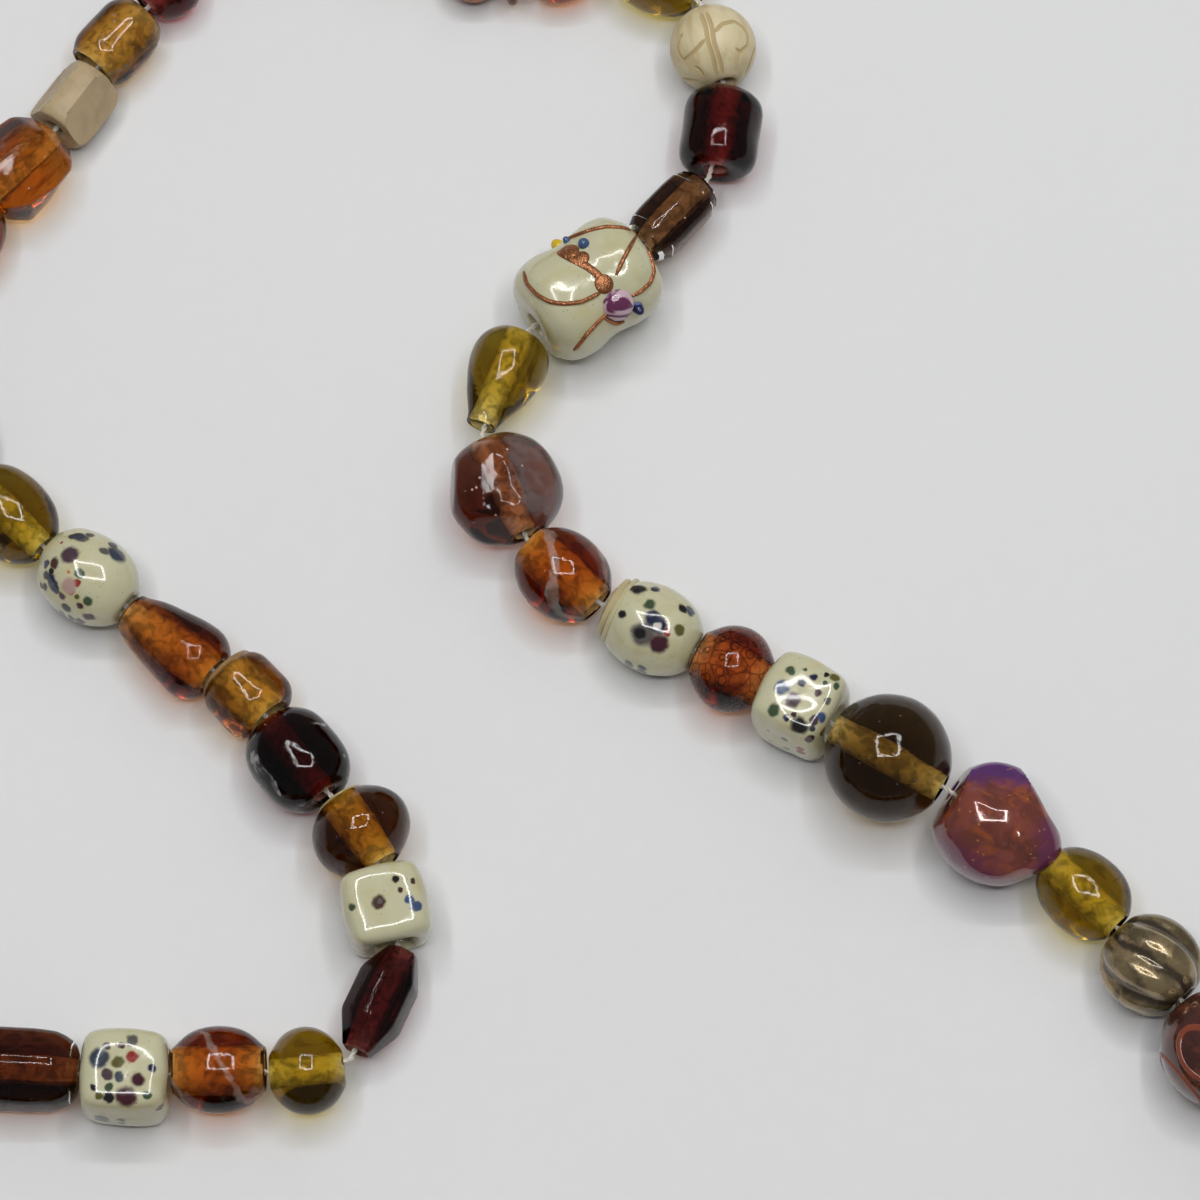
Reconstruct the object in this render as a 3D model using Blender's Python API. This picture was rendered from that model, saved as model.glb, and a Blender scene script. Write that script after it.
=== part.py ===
"""A beaded necklace of mixed glass, bone and stone beads, lying as one closed loop on a flat surface.

Every bead of the seen stretch, and those next to it, is a drilled solid of its own on one thread.
The far stretch is two strings of beads with necks between them, which meet at a plain barrel clasp.
Lengths are in metres and +Z is up. The necklace rests on the plane z = 0, centred on the origin.
"""
from collections import namedtuple
from math import atan2, cos, pi, radians, sin, sqrt

import bmesh
import bpy
from mathutils import Euler, Vector

MM = 0.001

# The view in which the beads' places were measured
VIEW_DISTANCE = 600 * MM
VIEW_ELEVATION = radians(70)
PIXELS_PER_METRE = 9000
VIEW_MIDDLE = 600

# Thread, holes and the gaps between neighbours
BORE_RADIUS = 1.2 * MM
MOUTH_RADIUS = 1.7 * MM
THREAD_RADIUS = 0.33 * MM
THREAD_END_DEPTH = 4.0 * MM
MEETING_GAP = 0.4 * MM
# A small bead hangs on the thread at most this far below its neighbours
HANG_DEPTH = 0.5 * MM
# A bead stays level where its neighbours' heights differ by less
LEVEL_ENOUGH = 0.8 * MM

# The far stretch: two turns of the string, a straight run and the clasp in its middle
LEFT_TURN_RADIUS = 12.5 * MM
STRING_WIDTH = 9.4 * MM
STRING_BEADS = 9
STRING_SIDES = 10
STRING_STATIONS = 5
STRING_MOUTH = 0.42
NECK_RADIUS = 2.0 * MM
NECK_LENGTH = 0.9 * MM
CLASP_LENGTH = 15 * MM
CLASP_WIDTH = 8 * MM
CLASP_GAP = 1.2 * MM

# How far a square bead's rounded corners reach, for a half width of one
CORNER_REACH = 1.22

# Ribs of the melon bead
RIBS = 7
RIB_DEPTH = 0.12
RIB_TWIST = 0.5

# The two lobes of the large cream bead
WAIST_DEPTH = 0.13
WAIST_SPREAD = 0.28
LOBE_UNEVEN = 0.03

# Flats of the prism and the nugget, for a half width of one
RIDGE_FLAT = 0.72
NUGGET_FACETS = 5
NUGGET_FLAT = 0.88
NUGGET_TWIST = 0.5

# How far the uneven beads leave a round shape
LUMP_FLANK = 0.10
LUMP_FLANK_END = 0.3
LUMP_UNEVEN = 0.03
PEBBLE_FLANK = 0.15
PEBBLE_FLANK_START = -0.35
PEBBLE_UNEVEN = 0.025


def round_section(angle, along):
    """Reach of a round bead's wall, for a half width of one."""
    return 1.0


def square_section(angle, along):
    """Four flat sides with cut corners."""
    return min(1 / max(abs(cos(angle)), abs(sin(angle))), CORNER_REACH)


def hexagon_section(angle, along):
    """Six flat sides, one of them facing down."""
    step = pi / 3
    return cos(step / 2) / cos(angle % step - step / 2)


def ridge_section(angle, along):
    """A three-sided prism with blunt ridges and a flat foot."""
    step = 2 * pi / 3
    reach = RIDGE_FLAT / cos((angle + pi / 2 + step / 2) % step - step / 2)
    return min(reach, 1.0)


def ribbed_section(angle, along):
    """Ribs that turn about the bead from one end to the other."""
    return 1 - RIB_DEPTH * (0.5 - 0.5 * cos(RIBS * (angle + RIB_TWIST * along)))


def waisted_section(angle, along):
    """Two uneven lobes with a pinched waist between them."""
    pinch = WAIST_DEPTH * max(0.0, 1 - (along / WAIST_SPREAD) ** 2)
    return 1 - pinch - LOBE_UNEVEN * (1 - cos(3 * angle + 4 * along))


def lump_section(angle, along):
    """A lump whose one flank is flat near the start and bulges near the far end."""
    flank = max(0.0, -cos(angle))
    cut = LUMP_FLANK * flank * (LUMP_FLANK_END - along)
    return 1 - cut - LUMP_UNEVEN * (1 + cos(2 * angle + 2 * along))


def pebble_section(angle, along):
    """A worn pebble whose one flank is cut away towards the far end."""
    flank = max(0.0, cos(angle))
    cut = PEBBLE_FLANK * flank * (along - PEBBLE_FLANK_START)
    return 1 - cut - PEBBLE_UNEVEN * (1 + cos(3 * angle + along))


def nugget_section(angle, along):
    """A rough nugget with a few broad facets that turn a little along the bore."""
    step = 2 * pi / NUGGET_FACETS
    turned = angle + NUGGET_TWIST * along
    return min(NUGGET_FLAT / cos(turned % step - step / 2), 1.0)


# A kind with a longer shoulder than this gets its rings past the shoulder only
LONG_SHOULDER = 0.4
# Where a tapered bead is widest, as a share of its half length
WIDEST_PLACE = 0.4

# Outline along the bore. end: reach of the end faces. shoulder: share of the half length that is straight.
# fullness: 2 for a round curve, more for a fuller one. taper: how much wider the far end is.
Kind = namedtuple("Kind", "end shoulder fullness taper stations section sides smooth")
BALL = Kind(0.34, 0.0, 2.0, 0.0, 8, round_section, 12, True)
GLOBE = Kind(0.28, 0.0, 2.0, 0.0, 9, round_section, 16, True)
OVAL = Kind(0.42, 0.0, 2.2, 0.0, 8, round_section, 12, True)
RING = Kind(0.62, 0.2, 2.0, 0.0, 6, round_section, 12, True)
BARREL = Kind(0.55, 0.25, 2.2, 0.0, 7, round_section, 12, True)
TUBE = Kind(0.68, 0.5, 2.0, 0.0, 6, round_section, 12, True)
SIX_SIDED = Kind(0.66, 0.5, 2.0, 0.0, 6, hexagon_section, 12, False)
BICONE = Kind(0.36, 0.05, 1.25, 0.0, 7, hexagon_section, 12, False)
BLOCK = Kind(0.74, 0.62, 2.0, 0.0, 6, square_section, 16, True)
PRISM = Kind(0.78, 0.6, 2.0, 0.0, 6, ridge_section, 12, True)
DROP = Kind(0.42, 0.0, 2.2, -0.42, 9, round_section, 12, True)
CONE = Kind(0.62, 0.45, 2.2, -0.2, 7, round_section, 12, True)
MELON = Kind(0.36, 0.0, 2.1, 0.0, 8, ribbed_section, 14, True)
WAISTED = Kind(0.36, 0.12, 2.3, 0.0, 11, waisted_section, 16, True)
LUMP = Kind(0.36, 0.0, 2.3, 0.0, 9, lump_section, 14, True)
PEBBLE = Kind(0.34, 0.0, 2.3, 0.0, 9, pebble_section, 14, True)
NUGGET = Kind(0.5, 0.2, 2.0, 0.0, 6, nugget_section, 10, False)

# Colour, roughness and how much light passes
Paint = namedtuple("Paint", "colour roughness clear")
PAINTS = {
    "amber": Paint((0.55, 0.20, 0.03, 1), 0.08, 0.5),
    "olive": Paint((0.30, 0.28, 0.07, 1), 0.08, 0.5),
    "smoke": Paint((0.30, 0.22, 0.16, 1), 0.08, 0.5),
    "garnet": Paint((0.14, 0.02, 0.04, 1), 0.08, 0.4),
    "plum": Paint((0.10, 0.03, 0.06, 1), 0.12, 0.1),
    "rust": Paint((0.38, 0.08, 0.02, 1), 0.10, 0.4),
    "copper": Paint((0.50, 0.20, 0.08, 1), 0.25, 0.0),
    "cream": Paint((0.78, 0.72, 0.60, 1), 0.15, 0.0),
    "bone": Paint((0.76, 0.69, 0.56, 1), 0.45, 0.0),
    "stone": Paint((0.56, 0.47, 0.38, 1), 0.50, 0.0),
    "brown": Paint((0.12, 0.05, 0.02, 1), 0.12, 0.3),
    "metal": Paint((0.72, 0.68, 0.60, 1), 0.30, 0.0),
    "thread": Paint((0.80, 0.77, 0.70, 1), 0.80, 0.0),
}

# The beads in their order along the string. photo_x and photo_y: the middle of the bead in the view.
# heading: degrees from rightwards, turning down the view. length, width and height: millimetres.
Bead = namedtuple("Bead", "name photo_x photo_y heading length width height kind paint")
BEADS = (
    Bead("brown_hexagon", 5, 1069, 3, 16.0, 9.9, 9.4, SIX_SIDED, "brown"),
    Bead("speckled_dice", 126, 1077, 2, 8.8, 9.4, 9.0, BLOCK, "cream"),
    Bead("brown_swirl_oval", 219, 1070, -1, 10.0, 9.4, 9.4, OVAL, "amber"),
    Bead("olive_round", 307, 1071, -6, 8.0, 9.5, 9.5, BALL, "olive"),
    Bead("burgundy_bicone", 380, 1001, -66, 12.2, 7.2, 7.2, BICONE, "garnet"),
    Bead("speckled_block", 386, 909, -103, 7.8, 9.0, 8.8, BLOCK, "cream"),
    Bead("smoky_amber_round", 361, 831, -124, 8.9, 11.2, 10.8, BALL, "smoke"),
    Bead("black_plum_oval", 298, 760, -127, 10.4, 10.1, 9.8, BARREL, "plum"),
    Bead("collared_amber_tube", 248, 695, -133, 7.2, 8.6, 8.6, TUBE, "amber"),
    Bead("orange_cone", 172, 644, -141, 11.8, 8.6, 8.6, CONE, "amber"),
    Bead("speckled_oval_left", 89, 578, -143, 11.0, 9.9, 9.7, OVAL, "cream"),
    Bead("olive_oval_left", 8, 514, -135, 11.6, 9.6, 9.6, OVAL, "olive"),
    Bead("hidden_plum_oval", -56, 428, -118, 11.6, 9.0, 9.0, OVAL, "plum"),
    Bead("hidden_olive_oval", -77, 333, -86, 10.6, 8.8, 8.8, OVAL, "olive"),
    Bead("hidden_amber_oval", -40, 243, -52, 10.8, 8.8, 8.8, OVAL, "amber"),
    Bead("amber_nugget", 21, 169, -50, 10.6, 11.4, 10.2, NUGGET, "amber"),
    Bead("beige_prism", 74, 104, -57, 8.0, 8.0, 7.4, PRISM, "stone"),
    Bead("honey_tube", 117, 42, -51, 8.6, 7.8, 7.8, TUBE, "amber"),
    Bead("plum_round", 169, -13, -46, 7.2, 7.6, 7.6, BALL, "plum"),
    Bead("hidden_rust_oval", 221, -62, -36, 8.2, 8.0, 8.0, OVAL, "rust"),
    Bead("hidden_smoke_oval", 306, -92, -4, 11.0, 8.4, 8.4, OVAL, "smoke"),
    Bead("hidden_olive_small", 404, -70, 30, 10.6, 8.0, 8.0, OVAL, "olive"),
    Bead("copper_foil_round", 473, -26, 16, 6.4, 6.6, 6.6, BALL, "copper"),
    Bead("brown_spacer", 513, -20, 2, 1.8, 6.0, 6.0, RING, "brown"),
    Bead("ruby_oval", 563, -30, -18, 8.4, 7.6, 7.6, OVAL, "rust"),
    Bead("olive_oval_top", 656, -26, 30, 11.6, 9.0, 9.0, OVAL, "olive"),
    Bead("carved_bone_round", 713, 48, 75, 9.4, 9.9, 9.9, BALL, "bone"),
    Bead("garnet_barrel", 721, 133, 98, 9.6, 9.0, 9.0, BARREL, "garnet"),
    Bead("smoky_hexagon_tube", 672, 216, 131, 10.4, 7.4, 7.2, SIX_SIDED, "smoke"),
    Bead("copper_trail_lampwork", 588, 289, 144, 14.8, 12.8, 12.0, WAISTED, "cream"),
    Bead("olive_drop", 501, 381, 112, 11.7, 9.4, 9.0, DROP, "olive"),
    Bead("plum_luster_lump", 504, 489, 66, 11.8, 12.8, 11.6, LUMP, "plum"),
    Bead("amber_swirl_oval", 563, 575, 43, 10.2, 9.8, 9.6, OVAL, "amber"),
    Bead("speckled_oval_right", 652, 628, 30, 11.0, 9.8, 9.6, OVAL, "cream"),
    Bead("crackle_amber_round", 732, 669, 28, 8.4, 9.8, 9.8, BALL, "rust"),
    Bead("speckled_cube", 801, 706, 30, 8.0, 9.0, 8.6, BLOCK, "cream"),
    Bead("smoky_globe", 888, 758, 31, 13.4, 14.0, 14.0, GLOBE, "smoke"),
    Bead("rainbow_pebble", 995, 824, 39, 12.6, 13.2, 12.0, PEBBLE, "rust"),
    Bead("olive_oval_right", 1084, 894, 46, 10.2, 9.0, 9.0, OVAL, "olive"),
    Bead("olive_melon", 1151, 965, 48, 10.0, 10.6, 10.6, MELON, "olive"),
    Bead("red_looped_disc", 1219, 1050, 52, 12.4, 12.4, 11.2, BALL, "rust"),
)

# Lengths of the far stretch's beads, as shares that repeat
STRING_SHARES = (1.0, 0.8, 1.15, 0.9, 1.05)
STRING_WIDTHS = (1.0, 0.88, 0.95, 1.0, 0.9)


def on_table(photo_x, photo_y, height):
    """The point at this height over the surface that the view shows at these coordinates."""
    focal = VIEW_DISTANCE * PIXELS_PER_METRE
    across = photo_x - VIEW_MIDDLE
    down = photo_y - VIEW_MIDDLE
    eye = Vector((0, -VIEW_DISTANCE * cos(VIEW_ELEVATION), VIEW_DISTANCE * sin(VIEW_ELEVATION)))
    ahead = Vector((0, cos(VIEW_ELEVATION), -sin(VIEW_ELEVATION)))
    up = Vector((0, sin(VIEW_ELEVATION), cos(VIEW_ELEVATION)))
    ray = ahead * focal + Vector((across, 0, 0)) - up * down
    return eye + ray * ((height - eye.z) / ray.z)


def make_paint(name):
    """A plain material from the table of paints."""
    paint = PAINTS[name]
    material = bpy.data.materials.new(name)
    material.use_nodes = True
    shader = material.node_tree.nodes["Principled BSDF"]
    shader.inputs["Base Color"].default_value = paint.colour
    shader.inputs["Roughness"].default_value = paint.roughness
    shader.inputs["Metallic"].default_value = 1.0 if name == "metal" else 0.0
    shader.inputs["Transmission Weight"].default_value = paint.clear
    return material


def reach_along(kind, along):
    """Reach of a bead's outline, from -1 at one end to 1 at the other."""
    past = max(0.0, (abs(along) - kind.shoulder) / (1 - kind.shoulder))
    fall = (1 - kind.end ** kind.fullness) * past ** kind.fullness
    widening = (1 + kind.taper * along) / (1 + abs(kind.taper) * WIDEST_PLACE)
    return (1 - fall) ** (1 / kind.fullness) * widening


def stations_of(kind):
    """Places of the rings along a bead, closer together towards its ends."""
    count = kind.stations
    if kind.shoulder > LONG_SHOULDER:
        half = count // 2
        turned = [kind.shoulder + (1 - kind.shoulder) * sin(pi / 2 * i / (half - 1)) for i in range(half)]
        return [-place for place in reversed(turned)] + turned
    return [sin(pi / 2 * (2 * i / (count - 1) - 1)) for i in range(count)]


def close_tube(bm, rings):
    """Joins each ring of points to the next, and the last one to the first."""
    for ring, following in zip(rings, rings[1:] + rings[:1]):
        for i in range(len(ring)):
            j = (i + 1) % len(ring)
            bm.faces.new((ring[i], following[i], following[j], ring[j]))


def finish_mesh(bm, name, smooth):
    """Turns the finished shape into a mesh whose faces look outwards."""
    bmesh.ops.recalc_face_normals(bm, faces=bm.faces)
    mesh = bpy.data.meshes.new(name)
    bm.to_mesh(mesh)
    bm.free()
    if smooth:
        mesh.shade_smooth()
        mesh.set_sharp_from_angle(angle=radians(50))
    return mesh


def bead_mesh(name, length, width, height, kind):
    """A bead along X: rings of its outer wall, then the wall of the bore back to the start."""
    bm = bmesh.new()
    angles = [2 * pi * i / kind.sides for i in range(kind.sides)]
    rings = []
    for along in stations_of(kind):
        reach = reach_along(kind, along)
        ring = []
        for angle in angles:
            wall = reach * kind.section(angle, along)
            side = max(wall * width / 2, MOUTH_RADIUS) * cos(angle)
            rise = max(wall * height / 2, MOUTH_RADIUS) * sin(angle)
            ring.append(bm.verts.new((along * length / 2, side, rise)))
        rings.append(ring)
    for along in (1, -1):
        hole = [(along * length / 2, BORE_RADIUS * cos(angle), BORE_RADIUS * sin(angle)) for angle in angles]
        rings.append([bm.verts.new(point) for point in hole])
    close_tube(bm, rings)
    return finish_mesh(bm, name, kind.smooth)


def add_object(name, mesh, material):
    """Links a mesh as a named object with its material."""
    body = bpy.data.objects.new(name, mesh)
    body.data.materials.append(material)
    bpy.context.scene.collection.objects.link(body)
    return body


def direction(heading):
    """Unit vector on the surface for a heading in degrees, which turns down the view."""
    return Vector((cos(radians(heading)), -sin(radians(heading)), 0))


def standing_heights(meshes):
    """Height of each bead's middle: on the surface, or hung on the thread between taller neighbours."""
    own = [-min(vertex.co.z for vertex in mesh.vertices) for mesh in meshes]
    heights = list(own)
    for i in range(1, len(own) - 1):
        heights[i] = max(own[i], (own[i - 1] + own[i + 1]) / 2 - HANG_DEPTH)
    return heights


def add_beads(materials):
    """The beads of the table, each on the surface or on the thread. Returns both ends of every bore."""
    meshes = [bead_mesh(bead.name, bead.length * MM, bead.width * MM, bead.height * MM, bead.kind)
              for bead in BEADS]
    heights = standing_heights(meshes)
    ends = []
    for i, (bead, mesh) in enumerate(zip(BEADS, meshes)):
        before = heights[max(i - 1, 0)]
        after = heights[min(i + 1, len(BEADS) - 1)]
        pitch = 0.0
        if abs(after - before) > LEVEL_ENOUGH:
            between = 2 * bead.length * MM
            pitch = atan2(after - before, between)
        turn = Euler((0, -pitch, -radians(bead.heading)))
        lowest = min((turn.to_matrix() @ vertex.co).z for vertex in mesh.vertices)
        body = add_object(bead.name, mesh, materials[bead.paint])
        body.location = on_table(bead.photo_x, bead.photo_y, max(heights[i], -lowest))
        body.rotation_euler = turn
        half = turn.to_matrix() @ Vector((bead.length * MM / 2, 0, 0))
        ends.append((body.location - half, body.location + half))
    return ends


def far_route(start, heading, finish, height):
    """Length of the far stretch, and a function for the point and direction at a distance along it.

    It turns from the start's heading to leftwards, runs straight, and turns once more to the finish.
    """
    run_y = finish.y - 2 * LEFT_TURN_RADIUS
    right_radius = (start.y - run_y) / (1 + cos(radians(heading)))
    ahead = direction(heading)
    right_middle = start + Vector((ahead.y, -ahead.x, 0)) * right_radius
    right_length = right_radius * radians(180 - heading)
    straight = right_middle.x - finish.x
    left_length = LEFT_TURN_RADIUS * pi
    left_middle = Vector((finish.x, finish.y - LEFT_TURN_RADIUS, 0))

    def place(distance):
        if distance < right_length:
            turned = heading + distance / right_radius * 180 / pi
            out = direction(turned - 90)
            spot = right_middle + out * right_radius
            facing = direction(turned)
        elif distance < right_length + straight:
            spot = Vector((right_middle.x - (distance - right_length), run_y, 0))
            facing = direction(180)
        else:
            turned = 180 + (distance - right_length - straight) / LEFT_TURN_RADIUS * 180 / pi
            spot = left_middle + direction(turned - 90) * LEFT_TURN_RADIUS
            facing = direction(turned)
        return Vector((spot.x, spot.y, height)), facing

    return right_length + straight + left_length, place


def string_rows(begin, end, count):
    """Places and widths of the beads that fill a stretch of the string."""
    shares = [STRING_SHARES[i % len(STRING_SHARES)] for i in range(count)]
    widths = [STRING_WIDTHS[i % len(STRING_WIDTHS)] * STRING_WIDTH for i in range(count)]
    beads = (end - begin) - NECK_LENGTH * (count - 1)
    rows = []
    at = begin
    for share, width in zip(shares, widths):
        length = beads * share / sum(shares)
        rows.append((at, length, width))
        at += length + NECK_LENGTH
    return rows


def ring_at(bm, place, distance, radius):
    """A ring of points around the string's route."""
    spot, facing = place(distance)
    sideways = Vector((facing.y, -facing.x, 0))
    ring = []
    for i in range(STRING_SIDES):
        angle = 2 * pi * i / STRING_SIDES
        rise = Vector((0, 0, radius * sin(angle)))
        ring.append(bm.verts.new(spot + sideways * radius * cos(angle) + rise))
    return ring


def string_mesh(name, place, begin, end):
    """Beads and the necks between them in one skin, with one bore all the way through."""
    bm = bmesh.new()
    rings = []
    inner = []
    for at, length, width in string_rows(begin, end, STRING_BEADS):
        for i in range(STRING_STATIONS):
            along = sin(pi / 2 * (2 * i / (STRING_STATIONS - 1) - 1))
            reach = sqrt(1 - (1 - STRING_MOUTH ** 2) * along * along)
            radius = max(reach * width / 2, NECK_RADIUS)
            rings.append(ring_at(bm, place, at + length * (along + 1) / 2, radius))
        inner.append(at)
        inner.append(at + length / 2)
    inner.append(end)
    for distance in reversed(inner):
        rings.append(ring_at(bm, place, distance, BORE_RADIUS))
    close_tube(bm, rings)
    return finish_mesh(bm, name, True)


def add_thread(route, material):
    """The thread, as a thin tube through every bead from one end of the clasp to the other."""
    curve = bpy.data.curves.new("thread", "CURVE")
    curve.dimensions = "3D"
    curve.render_resolution_u = 0
    spline = curve.splines.new("POLY")
    spline.points.add(len(route) - 1)
    for point, spot in zip(spline.points, route):
        point.co = (spot.x, spot.y, spot.z, 1)
    curve.bevel_depth = THREAD_RADIUS
    curve.bevel_resolution = 1
    curve.use_fill_caps = True
    thread = bpy.data.objects.new("thread", curve)
    curve.materials.append(material)
    bpy.context.scene.collection.objects.link(thread)


def centre_on_origin():
    """Moves the whole necklace so that the middle of its outline stands on the origin."""
    bpy.context.view_layer.update()
    spots = []
    for body in bpy.context.scene.objects:
        if body.type == "MESH":
            spots += [body.matrix_world @ vertex.co for vertex in body.data.vertices]
    middle_x = (min(spot.x for spot in spots) + max(spot.x for spot in spots)) / 2
    middle_y = (min(spot.y for spot in spots) + max(spot.y for spot in spots)) / 2
    for body in bpy.context.scene.objects:
        body.location -= Vector((middle_x, middle_y, 0))


def build():
    """Strings the beads of the table, closes the loop behind them and threads it."""
    for body in list(bpy.data.objects):
        bpy.data.objects.remove(body, do_unlink=True)
    materials = {name: make_paint(name) for name in PAINTS}

    ends = add_beads(materials)
    arrive, leave = ends[0][0], ends[-1][1]
    seen_route = [(ends[0][0] + ends[0][1]) / 2]
    for (_, out_of), (into, beyond) in zip(ends, ends[1:]):
        seen_route.append((out_of + into) / 2)
        seen_route.append((into + beyond) / 2)

    height = STRING_WIDTH / 2 * cos(pi / STRING_SIDES)
    length, place = far_route(leave, BEADS[-1].heading, arrive, height)
    middle = length / 2
    clasp_reach = CLASP_LENGTH / 2 + CLASP_GAP
    stretches = (
        ("right_string", MEETING_GAP, middle - clasp_reach),
        ("left_string", middle + clasp_reach, length - MEETING_GAP),
    )
    far_routes = []
    for name, begin, end in stretches:
        add_object(name, string_mesh(name, place, begin, end), materials["smoke"])
        steps = 2 * STRING_BEADS
        far_routes.append([place(begin + (end - begin) * i / steps)[0] for i in range(steps + 1)])

    clasp = add_object(
        "clasp",
        bead_mesh("clasp", CLASP_LENGTH, CLASP_WIDTH, CLASP_WIDTH, BARREL),
        materials["metal"],
    )
    clasp.location = place(middle)[0]
    clasp.location.z = CLASP_WIDTH / 2
    inside = Vector((CLASP_LENGTH / 2 - THREAD_END_DEPTH, 0, 0))
    far_routes[0].append(clasp.location + inside)
    far_routes[1].insert(0, clasp.location - inside)

    add_thread(far_routes[1] + seen_route + far_routes[0], materials["thread"])
    centre_on_origin()


build()
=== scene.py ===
"""The looks of a necklace of mixed glass, bone and stone beads.

Each bead is drawn out along the wire and shaped as by hand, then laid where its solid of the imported
model lies. Lengths are in metres, +Z is up, and the beads rest on the plane z = 0.
"""
import math
from collections import namedtuple

import bpy
from bpy.props import FloatProperty, FloatVectorProperty, IntProperty, PointerProperty
from mathutils import Euler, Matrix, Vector


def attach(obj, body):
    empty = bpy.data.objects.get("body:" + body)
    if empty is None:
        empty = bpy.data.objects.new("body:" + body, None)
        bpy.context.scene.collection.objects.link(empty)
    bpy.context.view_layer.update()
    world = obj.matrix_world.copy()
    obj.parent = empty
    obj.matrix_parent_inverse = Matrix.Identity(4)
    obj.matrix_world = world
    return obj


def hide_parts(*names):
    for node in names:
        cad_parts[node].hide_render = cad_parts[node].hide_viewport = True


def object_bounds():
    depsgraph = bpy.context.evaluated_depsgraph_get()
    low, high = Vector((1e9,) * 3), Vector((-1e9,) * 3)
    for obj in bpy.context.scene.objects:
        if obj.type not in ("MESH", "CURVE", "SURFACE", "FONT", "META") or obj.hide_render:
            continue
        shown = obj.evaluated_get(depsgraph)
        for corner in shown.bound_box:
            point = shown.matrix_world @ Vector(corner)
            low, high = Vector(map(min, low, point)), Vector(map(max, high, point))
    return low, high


bl_info = {
    "name": "Mixed bead necklace",
    "version": (1, 0, 0),
    "blender": (4, 5, 0),
    "location": "3D View > Sidebar > Necklace",
    "description": "Makes the beads, the thread and the stage of a mixed bead necklace",
    "category": "Add Mesh",
}

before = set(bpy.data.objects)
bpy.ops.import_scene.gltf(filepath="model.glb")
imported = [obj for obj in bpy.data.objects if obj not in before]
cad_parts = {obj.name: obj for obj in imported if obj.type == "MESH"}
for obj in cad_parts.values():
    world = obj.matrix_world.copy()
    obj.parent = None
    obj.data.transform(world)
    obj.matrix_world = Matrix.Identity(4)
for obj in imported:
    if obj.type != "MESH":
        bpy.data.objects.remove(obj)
CAD_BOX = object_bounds()

MM = 0.001

# The shot: where it looks, from how far and how high, and its pixels for each metre at that place
SHOT_MIDDLE = Vector((5.423, -1.887, 0)) * MM
SHOT_DISTANCE = 0.6
SHOT_ELEVATION = math.radians(70)
SHOT_SCALE = 9000
SHOT_SIZE = 1200

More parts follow.
